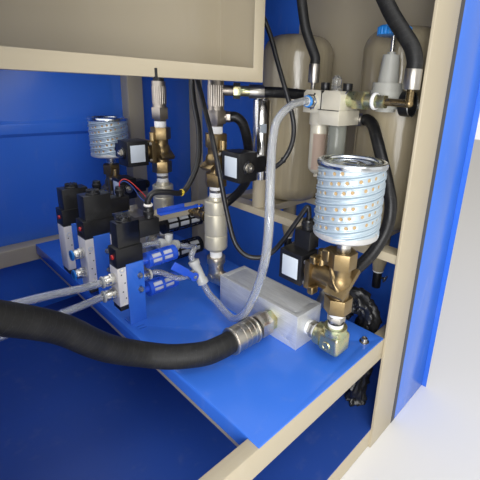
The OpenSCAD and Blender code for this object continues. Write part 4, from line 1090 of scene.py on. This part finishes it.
@dataclass
class WoundSilencer:
    """A silencer of perforated strip: three rows of holes between folds, then a plain band.

    Lengths are in millimetres, angles in degrees from the front. The strip is as wide as three
    rows and the plain band together. Holes stand in groups of three. The shells around a hole
    are (share of the way to the cell's edge, inset) pairs.
    """

    name: str
    at: Point
    height: float
    middle: float
    radius: float = 44.0
    row: float = 12.8
    wide: float = 8.5
    cap: float = 8.0
    front: float = 301.0
    group_turn: float = 50.1
    hole_turn: float = 14.0
    hole: float = 2.5
    phases: tuple[float, float, float] = (292.6, 282.5, 287.0)
    stride: float = 6.0
    groups: ClassVar[range] = range(-17, 9)
    strides: ClassVar[range] = range(-100, 120)
    corners: ClassVar[int] = 32
    shells: ClassVar[Profile] = ((0.0, 1.2), (0.0, 0.3), (0.12, 0.0), (0.5, 0.0), (1.0, 0.0))
    weld: ClassVar[float] = 0.01
    band_turns: ClassVar[tuple[float, float]] = (-560.0, 640.0)

    def fold(self, step: float, angle: float) -> float:
        """Returns the height of a fold at an angle that goes on from turn to turn."""
        rise = 3 * self.row + self.wide
        turns = (angle - self.front) / 360.0
        return self.middle + self.wide / 2 + rise * turns + self.row * step

    def held(self, height: float) -> float:
        """Returns a height between the caps."""
        return min(self.height - self.cap + 1.5, max(self.cap - 1.0, height))

    def spot(self, angle: float, height: float, inset: float = 0.0) -> Point:
        """Returns a point of the sheet."""
        turn = math.radians(angle)
        reach = self.radius - inset
        return (reach * math.sin(turn), -reach * math.cos(turn), self.held(height))

    def cell(self, part: Mesh, step: int, angle: float, left: float, right: float) -> None:
        """Adds the sheet around one hole.

        Args:
            part: The mesh that grows.
            step: The row.
            angle: The hole's angle.
            left: How far the cell reaches back from it, in degrees.
            right: How far the cell reaches on.
        """
        middle = self.fold(step + 0.5, angle)
        if any(self.held(middle + far) != middle + far for far in (-4, 0, 4)):
            self.plain(part, step, step + 1, angle - left, angle + right)
            return
        loops: list[list[Vert]] = []
        for share, inset in self.shells:
            loop = []
            for c, s in around(self.corners, 1.0):
                most = max(abs(c), abs(s))
                u, v = c / most, s / most
                far = angle + u * (right if u > 0 else left)
                edge = self.fold(step + 0.5 + v / 2, far)
                near = angle + math.degrees(self.hole * c / self.radius)
                place = near + (far - near) * share
                level = middle + self.hole * s
                loop.append(part.verts.new(self.spot(place, level + (edge - level) * share, inset)))
            loops.append(loop)
        bridge(part, loops)

    def plain(self, part: Mesh, low: float, high: float, start: float, end: float) -> None:
        """Adds sheet without holes between two folds."""
        steps = max(1, math.ceil((end - start) / self.stride))
        rows: tuple[list[Vert], ...] = ([], [])
        for k in range(steps + 1):
            angle = start + (end - start) * k / steps
            for row, share in zip(rows, (low, high)):
                row.append(part.verts.new(self.spot(angle, self.fold(share, angle))))
        bridge(part, rows, closed=False)

    def sheet(self) -> Mesh:
        """Makes the perforated sheet."""
        part = bmesh.new()
        wide = (self.group_turn - 2 * self.hole_turn) / 2
        near = self.hole_turn / 2
        for step, phase in enumerate(self.phases):
            for group in self.groups:
                for j in (-1, 0, 1):
                    angle = phase + self.group_turn * group + self.hole_turn * j
                    low, high = self.fold(step, angle), self.fold(step + 1, angle)
                    if high > self.cap - 3 and low < self.height - self.cap + 3:
                        left, right = (wide if j < 0 else near, wide if j > 0 else near)
                        self.cell(part, step, angle, left, right)
        band = 3 + self.wide / self.row
        self.plain(part, 3, band, *self.band_turns)
        bmesh.ops.remove_doubles(part, verts=part.verts, dist=self.weld)
        bmesh.ops.dissolve_degenerate(part, dist=self.weld, edges=part.edges)
        bmesh.ops.recalc_face_normals(part, faces=part.faces)
        return part

    def folds(self, stock: Stock) -> None:
        """Adds the folds between the rows, with dark grooves."""
        here = Vector(self.at)
        ridge = (
            (-0.6, -3.4), (0.5, -3.0), (1.5, -2.4), (1.8, -1.7), (1.4, -1.1), (-0.3, -0.7),
            (-0.3, 0.7), (1.4, 1.1), (1.8, 1.7), (1.5, 2.4), (0.5, 3.0), (-0.6, 3.4),
        )
        groove = ((-0.4, -0.85), (0.45, -0.85), (0.45, 0.85), (-0.4, 0.85))
        for step in range(4):
            line = []
            for k in self.strides:
                angle = self.stride * k
                height = self.fold(step, angle)
                if self.cap - 2 < height < self.height - self.cap + 3:
                    turn = math.radians(angle)
                    flat = (self.radius * math.sin(turn), -self.radius * math.cos(turn), height)
                    line.append(here + Vector(flat))
            for section, skin in ((ridge, 0), (groove, 4)):
                stock.sweep(
                    line, section, lambda p: Vector((p.x - here.x, p.y - here.y, 0.0)), skin
                )

    def build(self) -> bpy.types.Object:
        """Makes the silencer."""
        skins = (Skin.SILENCER, Skin.FELT, Skin.RIM, Skin.CAP, Skin.SEAM, Skin.NICKEL)
        stock = Stock(self.name, skins)
        stock.take(self.sheet(), self.at)
        self.folds(stock)
        r, h = self.radius, self.height
        felt = ((r - 1.3, 6.0), (r - 1.3, h - 6.0))
        base = (
            (9.5, 0.6), (12, 0.0), (r - 4, 0.0), (r - 1, 0.6), (r + 0.9, 2.4), (r + 1.2, 5.0),
            (r + 1.0, 8.0), (r + 0.2, 9.2), (r - 1.0, 9.4),
        )
        rim = (
            (r - 1.0, h - 8.6), (r + 1.4, h - 8.2), (r + 2.6, h - 7.0), (r + 3.0, h - 4.6),
            (r + 2.7, h - 2.2), (r + 1.6, h - 0.7), (r, h - 0.1), (r - 3, h), (r - 5.0, h - 0.4),
            (r - 6.4, h - 1.6), (r - 7.2, h - 3.6), (r - 9.0, h - 4.8), (r - 13, h - 5.1),
            (20, h - 5.1), (17, h - 4.6), (14.5, h - 3.2), (12, h - 2.6), (9.5, h - 3.0),
            (8.0, h - 4.4), (5.0, h - 5.0), (0.0, h - 5.0),
        )
        nipple = ((10.8, -18.0), (10.8, 0.8))
        for profile, skin, sides in ((felt, 1, 96), (base, 3, 96), (rim, 2, 96), (nipple, 5, 48)):
            stock.lathe(self.at, UP, profile, skin, sides)
        return stock.build()


# Camera, lamps and floor.


@dataclass
class Studio:
    """The camera, the lamps, the floor and the pale surroundings."""

    eye: Point = (-0.360, -0.646, 0.640)
    yaw: float = 47.57
    pitch: float = 17.31
    roll: float = 2.677
    focal_px: float = 387.3
    frame_px: float = 480.0
    centre_px: tuple[float, float] = (275.8, 206.3)
    film: float = 36.0
    near_m: float = 0.02
    floor_half_m: float = 6.0
    floor_drop_m: float = 0.0005
    floor_colour: Colour = (0.82, 0.82, 0.82)
    floor_roughness: float = 0.9
    lamps: ClassVar[Sequence[tuple[str, Point, Point, float, float]]] = (
        ("key", (-0.6, -1.5, 2.2), (0.05, -0.3, 0.25), 1.2, 17.0),
        ("fill", (0.9, -2.2, 1.1), (0.0, 0.0, 0.4), 1.8, 4.0),
        ("low", (-1.1, -1.4, 0.55), (-0.05, 0.1, 0.35), 0.8, 13.5),
        ("side", (-1.1, -0.95, 0.8), (0.1, -0.2, 0.45), 0.5, 7.0),
        ("bay", (-0.12, 0.10, 0.62), (0.0, 0.15, 0.35), 0.4, 0.8),
        ("tray", (-0.02, -0.32, 0.60), (0.06, -0.30, 0.24), 0.25, 0.13),
    )
    backgrounds: ClassVar[Sequence[tuple[Colour, float]]] = (
        ((1.0, 0.96, 0.90), 0.58), ((0.95, 0.95, 0.95), 1.0),
    )

    def camera(self) -> None:
        """Places the camera where the photograph was taken."""
        yaw, pitch, roll = (math.radians(a) for a in (self.yaw, self.pitch, self.roll))
        ahead = Vector(
            (math.sin(yaw) * math.cos(pitch), math.cos(yaw) * math.cos(pitch), -math.sin(pitch))
        )
        right = Vector((math.cos(yaw), -math.sin(yaw), 0.0))
        up = right.cross(ahead)
        side = right * math.cos(roll) + up * math.sin(roll)
        top = -right * math.sin(roll) + up * math.cos(roll)
        lens = bpy.data.cameras.new("camera")
        lens.sensor_width = self.film
        lens.lens = self.focal_px / self.frame_px * self.film
        half = self.frame_px / 2
        lens.shift_x = (half - self.centre_px[0]) / self.frame_px
        lens.shift_y = (self.centre_px[1] - half) / self.frame_px
        lens.clip_start = self.near_m
        camera = bpy.data.objects.new("camera", lens)
        turn = Matrix((side, top, -ahead)).transposed().to_4x4()
        camera.matrix_world = Matrix.Translation(self.eye) @ turn
        bpy.context.scene.collection.objects.link(camera)
        bpy.context.scene.camera = camera

    @staticmethod
    def lamp(name: str, place: Point, target: Point, size: float, watts: float) -> None:
        """Adds a soft square lamp.

        Args:
            name: Its name.
            place: Where it stands.
            target: Where it points.
            size: Its side.
            watts: Its power.
        """
        data = bpy.data.lights.new(name, "AREA")
        data.size = size
        data.energy = watts
        lamp = bpy.data.objects.new(name, data)
        lamp.location = place
        lamp.rotation_euler = (Vector(target) - Vector(place)).to_track_quat("-Z", "Y").to_euler()
        lamp.visible_camera = False
        bpy.context.scene.collection.objects.link(lamp)

    def lights(self) -> None:
        """Adds the lamps."""
        for row in self.lamps:
            self.lamp(*row)

    def world(self) -> None:
        """Makes the surroundings soft to the surfaces and pale to the camera."""
        world = bpy.data.worlds.new("studio")
        bpy.context.scene.world = world
        world.use_nodes = True
        tree = world.node_tree
        tree.nodes.clear()
        paths = tree.nodes.new("ShaderNodeLightPath")
        either = tree.nodes.new("ShaderNodeMath")
        either.operation = "MAXIMUM"
        mixed = tree.nodes.new("ShaderNodeMixShader")
        out = tree.nodes.new("ShaderNodeOutputWorld")
        for index, ray in enumerate(("Is Camera Ray", "Is Transmission Ray")):
            tree.links.new(paths.outputs[ray], either.inputs[index])
        tree.links.new(either.outputs[0], mixed.inputs[0])
        for index, (colour, strength) in enumerate(self.backgrounds, 1):
            sky = tree.nodes.new("ShaderNodeBackground")
            sky.inputs["Color"].default_value = (*colour, 1.0)
            sky.inputs["Strength"].default_value = strength
            tree.links.new(sky.outputs[0], mixed.inputs[index])
        tree.links.new(mixed.outputs[0], out.inputs[0])

    def floor(self) -> None:
        """Lays the plain pale floor."""
        mesh = bmesh.new()
        bmesh.ops.create_grid(mesh, x_segments=1, y_segments=1, size=self.floor_half_m)
        data = bpy.data.meshes.new("floor")
        mesh.to_mesh(data)
        mesh.free()
        floor = bpy.data.objects.new("floor", data)
        graph = Graph("floor_pale")
        pale = graph.surface(Base_Color=self.floor_colour, Roughness=self.floor_roughness)
        data.materials.append(pale)
        floor.location = (0.0, 0.0, -self.floor_drop_m)
        bpy.context.scene.collection.objects.link(floor)
        floor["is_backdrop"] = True


# Sub-assemblies.


@dataclass
class Assembly:
    """Nodes of the part that are dressed together, with what the scene adds to them.

    A row of coats gives a node, its finish, the rounding of its edges and its zones.
    """

    dresser: Dresser
    coats: ClassVar[Sequence[tuple[str | Skin | float | Zone | Rod, ...]]] = ()
    moves: ClassVar[dict[str, Callable[[Vector], Vector]]] = {}

    def build(self) -> None:
        """Dresses the nodes and adds the details."""
        for node, skin, edge, *zones in self.coats:
            self.dresser.soften(node, skin, edge, zones, self.moves.get(node))
        self.add()

    def add(self) -> None:
        """Adds the details."""


@dataclass
class CabinetShell(Assembly):
    """Frame, sheets, tray, wiring box and cradle."""

    coats = (
        ("base_frame", Skin.CREAM, 1.2),
        ("tray_rails", Skin.CREAM, 1.2),
        ("vessel_cradle", Skin.CREAM, 1.2),
        ("electrical_box", Skin.CREAM, 0.5),
        ("liner_panel", Skin.CREAM, 0.0),
        ("back_panel", Skin.BLUE, 0.5),
        ("side_panels", Skin.BLUE, 0.0),
        ("level_sheets", Skin.NAVY, 0.0),
        ("front_panel", Skin.BLUE, 0.8),
        ("door_gasket", Skin.GASKET, 0.6),
        ("valve_tray", Skin.BLUE, 0.6),
        ("valve_brackets", Skin.BLUE, 0.5),
    )

    def add(self) -> None:
        """Adds the blue sheet on the rear half of the liner."""
        stock = Stock("liner_sheet", (Skin.BLUE,))
        stock.slab((399.4, 190.5, 624), (0.8, 381, 466), 0.1)
        stock.build()


@dataclass
class AirVessels(Assembly):
    """The two vessels, their drains and the polished cylinder."""

    coats = (
        ("air_vessels", Skin.VESSEL, 0.0),
        ("vessel_drains", Skin.BLACK, 0.5),
        (
            "polished_cylinder", Skin.POLISHED, 1.5,
            Zone((180, -105, 380), (230, -55, 452), Skin.CREAM),
        ),
    )

    def add(self) -> None:
        """Adds rings, wing screws and cups to the vessels and a plate to the cylinder."""
        stock = Stock("vessel_trim", (Skin.TAPE, Skin.ZINC, Skin.NICKEL, Skin.LABEL))
        screw = ((1.6, 0), (1.6, 9), (4.2, 9.2), (4.2, 11), (0, 11.4))
        cup = ((12, 0), (21, 0), (22.5, 2), (22.5, 6))
        for y in VESSELS_Y:
            stock.ring((VESSEL_X, y, 287.0), UP, 9.6, 2.6, 0, tall=4.5)
            stock.lathe((VESSEL_X, y - 8, 274), FRONT, screw, 2, 16)
            for turn in (-1, 1):
                wing = (VESSEL_X + turn * 5.5, y - 18, 274 + turn * 2.0)
                stock.slab(wing, (8, 1.8, 5.5), 0.8, 2)
            stock.lathe((VESSEL_X, y, 384), UP, cup, 1, 40)
        stock.patch((205, -80, 0), 18.15, 548, 566, 215, 262, 3)
        stock.build()


@dataclass
class ValveLines(Assembly):
    """Blocks, elbows, brass valves, coils, check valves and silencers."""

    coats = (
        ("manifold_blocks", Skin.ALUMINIUM, 0.6),
        ("pilot_valves", Skin.BRASS, 1.2),
        (
            "valve_coils", Skin.BLACK, 1.2,
            Zone((61.0, -330, 320), (61.99, -260, 400), Skin.LABEL),
            Zone((61.0, -180, 470), (61.99, -125, 540), Skin.LABEL),
            Zone((0, 78.0, 470), (40, 78.99, 530), Skin.LABEL),
            Zone((45.0, 225, 350), (47.99, 285, 420), Skin.LABEL),
        ),
        ("check_valves", Skin.CHAMPAGNE, 0.3),
        ("line_nipples", Skin.ZINC, 0.5),
        ("thread_tape", Skin.TAPE, 0.6),
        (
            "line_elbows", Skin.ROSE_ZINC, 1.0,
            Zone((40, -400, 230), (130, -330, 310), Skin.CHROMATE),
        ),
        (
            "hose_ends", Skin.ZINC, 0.6,
            Zone((39.9, -300, 250), (60, -250, 290), Skin.CHROMATE),
            Zone((17, -300, 250), (39.9, -250, 290), Skin.ROSE_ZINC),
            Zone((84, -132, 608), (126, -80, 648), Skin.CHROMATE),
            Zone((60, -110, 560), (104, -66, 700), Skin.CRIMP),
            Zone((60, 70, 552), (104, 130, 700), Skin.CRIMP),
        ),
        ("fasteners", Skin.ZINC, 0.3),
    )

    def add(self) -> None:
        """Makes the silencers and adds the details of the valves and hose ends."""
        front_one = WoundSilencer("front_silencer", (LINE_X, FRONT_LINE_Y, 445), 106, 60.3)
        rear_one = WoundSilencer("rear_silencer", (68, 319, 452), 96, 52.0)
        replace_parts(front_one.build(), "silencers")
        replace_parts(rear_one.build(), "silencers")
        for index, seat in enumerate(VALVES):
            self.coil_hardware(index, seat)
        self.crimps()
        self.forgings()

    def forgings(self) -> None:
        """Adds the block of the front elbow and the webs of the front valve's casting."""
        stock = Stock("forged_details", (Skin.CHROMATE, Skin.BRASS, Skin.BLACK))
        stock.slab((LINE_X, FRONT_LINE_Y, 271), (36, 36, 32), 6.0, 0, steps=4)
        boss = ((7.2, 0), (7.2, 1.0), (6.4, 1.8), (5.2, 1.8), (4.6, 1.2), (0, 1.2))
        stock.lathe((64.2, -374, 268), LEFT, boss, 0, 32)
        stock.hexagon((LINE_X, FRONT_LINE_Y, 284), UP, 34, 9, 0, 15)
        stock.ring((LINE_X, FRONT_LINE_Y, 305.5), UP, 11.4, 3.2, 2, tall=5.0)
        seat = VALVES[0]
        ridge = ((-3.0, -5.0), (0.8, -3.4), (2.2, -1.2), (2.2, 1.2), (0.8, 3.4), (-3.0, 5.0))
        web = (
            (-9, 12, 72), (-13.5, 9, 65), (-16, 4, 57), (-17, -1, 49), (-16.5, -6, 41),
            (-14, -11, 34), (-10, -14, 28),
        )
        line = through([seat.at(*spot) for spot in web], 6)
        stock.sweep(line, ridge, lambda p: Vector((p.x - LINE_X, p.y - FRONT_LINE_Y, 0.0)), 1)
        stock.slab(seat.at(-1, 22, 84), (24, 15, 20), 4.0, 1, steps=3)
        for z in (24, 74):
            stock.slab(seat.at(-14, 38, z), (16, 11, 13), 3.0, 1, steps=3)
        stock.build()

    def coil_hardware(self, index: int, seat: Seat) -> None:
        """Adds the nut of a coil, its plug's screw and gland, and the bonnet's bolts."""
        stock = Stock(f"coil_hardware_{index}", (Skin.ZINC, Skin.BLACK, Skin.BRASS))
        out = seat.way(0, 1, 0)
        coil_long, axis_z = 44.0, 48
        end = seat.reach + coil_long
        washer = ((11.5, 0), (11.5, 2.0), (10.4, 3.0), (8.0, 3.0))
        stock.lathe(seat.at(0, end, axis_z), out, washer, 1)
        stock.lathe(
            seat.at(0, end + 3, axis_z), out, ((0, 1.4), (8.6, 1.4), (8.9, 1.0), (8.9, 0))
        )
        stock.hexagon(seat.at(0, end + 4.2, axis_z), out, 12.5, 5.0, turn=12)
        stem = ((3.2, 0), (3.2, 1.8), (2.6, 2.4), (0, 2.4))
        stock.lathe(seat.at(0, end + 9.0, axis_z), out, stem)
        if index == 0:
            top, axis = seat.at(16, seat.reach + 20, 103), UP
        else:
            top, axis = seat.at(50, seat.reach + coil_long / 2, axis_z), seat.way(1, 0, 0)
        gland = (
            (9.4, 0), (9.8, 0.6), (9.8, 3.0), (9.0, 3.6), (9.0, 4.4), (9.9, 5.0), (9.9, 11.5),
            (9.0, 12.8), (6.0, 13.4), (5.4, 16.2), (4.2, 16.4),
        )
        stock.lathe(top, axis, gland, 1, 24)
        grip = ((0.8, 0), (0.8, 6), (0, 6.2))
        side = Vector(axis).orthogonal().normalized()
        other = Vector(axis).cross(side)
        foot = Vector(top) + Vector(axis) * 5.2
        for x, y in around(12, 9.9):
            stock.lathe(tuple(foot + side * x + other * y), axis, grip, 1, 8)
        for x in (-17, 17):
            for z in (-17, 17):
                place = seat.at(x, seat.reach - 8, axis_z + z)
                stock.lathe(place, out, ((4.6, 0), (4.6, 0.8), (0, 0.8)))
                stock.lathe(place, out, ((3.4, 0.8), (3.4, 3.4), (2.9, 4.0), (0, 4.0)))
        stock.build()

    def crimps(self) -> None:
        """Adds the beads and dark rings of the hose ends."""
        stock = Stock("hose_end_rings", (Skin.ROSE_ZINC, Skin.BLACK, Skin.CRIMP))
        for x, radius, thick, skin, tall in (
            (10, 20.2, 2.6, 0, 3.4), (-33, 20.2, 2.2, 0, 3.0), (2, 20.0, 0.9, 0, 1.6),
            (-8, 20.0, 0.9, 0, 1.6), (-18, 20.0, 0.9, 0, 1.6), (15.5, 16.0, 3.0, 1, 3.4),
        ):
            stock.ring((x, *HOSE_PORT), LEFT, radius, thick, skin, tall=tall)
        rib = ((0, 0), (1.6, 1.2), (1.6, 36), (0, 37))
        for line_y, foot in ((MIDDLE_LINE_Y, 600), (INNER_LINE_Y, 592)):
            for x, y in around(20, 13.0):
                stock.lathe((LINE_X + x, line_y + y, foot), UP, rib, 2, 10)
        stock.build()


@dataclass
class AirPreparation(Assembly):
    """Filter, oiler, regulator, gauge and supply pipe."""

    coats = (
        ("filter_body", Skin.HEAD, 1.0),
        ("oiler_body", Skin.HEAD, 1.0),
        ("filter_bowl", Skin.HEAD, 0.4),
        ("oiler_bowl", Skin.SMOKED, 0.4),
        ("filter_knob", Skin.BLACK, 0.6),
        ("oiler_knob", Skin.BLACK, 0.6),
        ("sight_dome", Skin.DOME, 0.5),
        ("pressure_regulator", Skin.GREY_CAST, 1.0),
        (
            "hand_knob", Skin.KNOB_BLUE, 0.6,
            Zone((190, -370, 690), (250, -310, 718.5), Skin.NICKEL),
        ),
        ("pressure_gauge", Skin.BLACK, 0.8),
        (
            "supply_pipe", Skin.TURNED_BRASS, 0.6,
            Zone((160, -362, 600), (200, -298, 650), Skin.CHROMATE),
        ),
    )

    def add(self) -> None:
        """Adds rings, plates, screws and the gauge's face."""
        skins = (
            Skin.KNOB_BLUE, Skin.HEAD, Skin.TAPE, Skin.ROSE_LABEL, Skin.LABEL, Skin.BLACK,
            Skin.NICKEL,
        )
        stock = Stock("air_preparation_trim", skins)
        x, y, z = FILTER_AT
        seams_y, sleeve_y, nut_y = (-262, -280), -344, -297.5
        collar = ((6.2, 0), (9.0, 0), (9.4, 0.6), (9.4, 3.6), (8.4, 4.4), (6.2, 4.6))
        seat = ((10.5, 0), (12.6, 0), (12.6, 1.8), (10.5, 2.4))
        screw = ((0, 0.3), (1.6, 0.3), (1.6, 0))
        stock.lathe((x - 34, y, z), LEFT, collar, 0, 40)
        stock.lathe((x - 26.4, y, z), LEFT, seat, 6, 6)
        stock.lathe((x - 26.6, y, z - 11.5), LEFT, screw, 5, 16)
        stock.lathe((x - 26.6, y - 6, z + 12), LEFT, screw, 5, 16)
        stock.slab((x, seams_y[1], z - 11.4), (61, 40, 1.0), 0.4, 5)
        stock.slab((x, seams_y[0], z), (51.2, 0.8, 35.6), 0.2, 5)
        stock.ring((x, sleeve_y, z + 6), FRONT, 11.0, 3.6, 2, tall=6.0)
        stock.ring((x, nut_y, z + 6), FRONT, 13.0, 2.0, 6, tall=3.0)
        stock.patch((x, y, 0), 15.25, 505, 566, 176, 284, 3)
        x, z = GAUGE_AT
        stock.lathe((x, -381.5, z), FRONT, ((0, 0), (16.9, 0)), 4, 48)
        stock.ring((x, -383.4, z), FRONT, 18.2, 1.6, 6, tall=2.2)
        stock.slab((x, -382.4, z + 5), (1.2, 0.6, 15), 0.2, 5)
        stock.lathe((x, -381.6, z), FRONT, ((2.2, 0), (2.2, 1.2), (0, 1.5)), 5, 20)
        stock.build()


MUFFLER_CORES = tuple(
    Rod((x, y, z), radius, length, Skin.WINDOW)
    for x, y, radius, length, heights in (
        (-54, -72.5, 10.6, 60, (341, 286)), (51, 53, 15.4, 95, (344.5, 276.5)),
    )
    for z in heights
)


# The caps of the pilot heads (front face's Y, top), and how the coils above them change.
CAP_TOPS, CAP_DEPTH = ((-86, 381), (36, 393), (140, 388)), 35
COIL_SIDE_X, NEAR = -114, 0.3
SET_IN_X, SET_IN_Y, FRONT_NUT_DROP = 4.0, 2.5, 8.0
FRONT_NUT = (-60, -50, 429.0)


def set_in(point: Vector) -> Vector:
    """Sets the coils in from the edges of their caps and lowers the front coil's nut."""
    for face, top in CAP_TOPS:
        if face - 1 < point.y < face + CAP_DEPTH and point.z > top - 0.05:
            if abs(point.x - COIL_SIDE_X) < NEAR:
                point.x += SET_IN_X
            if abs(point.y - face - 1) < NEAR:
                point.y += SET_IN_Y
    x, y, z = FRONT_NUT
    if point.x < x and point.y < y and point.z > z:
        point.z -= FRONT_NUT_DROP
    return point


@dataclass
class SpoolBank(Assembly):
    """Spool valves with their heads, buttons, fittings, mufflers and cocks."""

    coats = (
        ("spool_valves", Skin.WHITE, 0.8),
        ("pilot_heads", Skin.BLACK, 1.0),
        ("front_button", Skin.RED, 0.8),
        ("middle_button", Skin.RED, 0.8),
        ("rear_button", Skin.RED, 0.8),
        (
            "push_fittings", Skin.NICKEL, 0.5,
            Zone((-30, -135, 280), (45, -30, 375), Skin.PALE),
            Zone((-140, -90, 290), (-132.5, -60, 340), Skin.PALE),
            Zone((-140, 40, 280), (-132.5, 70, 340), Skin.KNOB_BLUE),
            Zone((100, -260, 600), (143.5, -230, 640), Skin.PALE),
        ),
        (
            "mufflers", Skin.BLUE_PLASTIC, 0.0,
            Zone((20, 0, 240), (200, 110, 400), Skin.BLACK),
            Zone((-62, 40, 240), (36.2, 70, 400), Skin.NICKEL),
            *MUFFLER_CORES,
        ),
        (
            "ball_valves", Skin.TURNED_BRASS, 0.5,
            Zone((-30, -150, 280), (30, -90, 340), Skin.NICKEL),
        ),
        ("upper_lever", Skin.BLUE_PLASTIC, 0.8),
        ("lower_lever", Skin.BLUE_PLASTIC, 0.8),
    )
    moves = {"pilot_heads": set_in}

    def add(self) -> None:
        """Adds the details of the heads, the fittings and the ties."""
        self.heads()
        self.collars()
        self.straps()

    def heads(self) -> None:
        """Adds the slotted nuts and glands of the pilot heads and the pits of the bodies."""
        stock = Stock("pilot_head_trim", (Skin.BLACK, Skin.WINDOW, Skin.ZINC))
        heads = (
            (-93.5, -72.5, 422, -49, 418, -86, 313.5), (-88, 53, 438, -38, 426, 36, 310.5),
            (-88, 157, 428, -38, 416, 140, 308),
        )
        nut = ((12.6, 0), (12.6, 2.2), (11.8, 3), (8, 3))
        dome = ((0, 8.2), (3, 8.2), (5.6, 7.6), (6.6, 6.2), (6.6, 2.8))
        ribs = ((7.6, 0), (9.2, 0.4), (9.2, 6.8), (8.2, 7.6), (8.2, 8.4), (6.2, 12), (5, 12.4))
        pit = ((0, 0.25), (1.2, 0.25), (1.2, -0.4))
        ring = ((2.6, 0.6), (4.4, 0.6), (4.8, 0.2), (4.8, -0.4))
        for x, y, z, plug, collar, face, mid in heads:
            stock.lathe((x, y, z), UP, nut, 0, 32)
            for k, (dx, dy) in enumerate(around(10, 8.8)):
                stock.slab((x + dx, y + dy, z + 5.2), (5.2, 3.6, 6.4), 0.9, 0, turn=36 * k)
            stock.lathe((x, y, z), UP, dome, 0, 24)
            stock.lathe((plug, y, collar + 5), UP, ribs, 0, 12)
            for px, pz in ((-110, 22), (-105, 6), (-109, -9), (-104.5, -22)):
                stock.lathe((px, face, mid + pz), FRONT, pit, 0, 12)
            stock.lathe((-108, face, mid + 30), FRONT, ring, 1, 24)
        stock.build()

    def collars(self) -> None:
        """Adds the hexagons and release rings of the push-in fittings."""
        stock = Stock("push_fitting_trim", (Skin.NICKEL, Skin.PALE, Skin.KNOB_BLUE))
        ring = ((6.3, 3.2), (9.2, 3.2), (9.9, 2.4), (9.9, 0.8), (9.2, 0), (7.2, 0), (7.2, -3))
        barrel = ((9.0, 0), (9.0, 7.0), (8.4, 8.0), (7.0, 8.0))
        for y, mid, gap, tint in ((-72.5, 313.5, 13, 1), (53, 310.5, 19.5, 2)):
            for z in (mid - gap, mid + gap):
                stock.hexagon((-116, y, z), LEFT, 18, 8.5, 0, 12)
                stock.lathe((-124, y, z), LEFT, barrel, 0, 40)
                stock.lathe((-134, y, z), LEFT, ring, tint, 40)
            end = -71 if y < 0 else -60
            stock.hexagon((end, y, mid), RIGHT, 18, 8.5, 0, 12)
            stock.lathe((end + 7, y, mid), RIGHT, barrel, 0, 40)
            stock.lathe((end + 15.5, y, mid), RIGHT, ring, 1, 40)
        stock.build()

    def straps(self) -> None:
        """Adds the ties of the spool lead, its gland, the lip's lead and the middle coil's lead."""
        stock = Stock("cable_ties", (Skin.YELLOW, Skin.BLACK, Skin.WHITE))
        stock.ring((13, -78, 452), (-29, -2, 6), 5.6, 1.6, 0, 32, 3.2)
        stock.slab((13, -83.5, 454), (4, 3, 4), 0.6, 0)
        stock.ring((-49, -72.5, 440), UP, 6.4, 2.4, 2, 32, 4.5)
        stock.ring((-125.2, -240, 650), RIGHT, 5.2, 1.6, 1, 32, 3.4)
        stock.slab((-125.2, -245.4, 646), (3.6, 2.4, 13), 0.8, 1)
        stock.ring((126, -214, 520), (-9, 16, -16), 4.8, 1.4, 1, 32, 3.0)
        stock.build()


def corners() -> list[list[float]]:
    """Returns the visible model's lowest and highest corners as plain lists."""
    return [list(c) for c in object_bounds()]


def main() -> None:
    """Builds the picture."""
    logging.basicConfig(level=logging.INFO, format="%(name)s %(message)s")
    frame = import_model()
    studio = Studio()
    studio.camera()
    Plumbing().build()
    dresser = Dresser(frame)
    for part in (CabinetShell, AirVessels, ValveLines, AirPreparation, SpoolBank):
        part(dresser).build()
    dresser.coat("riser_hoses", Skin.CABLE)
    studio.lights()
    studio.world()
    studio.floor()
    bpy.context.scene.view_settings.view_transform = "Standard"


if __name__ == "__main__":
    main()
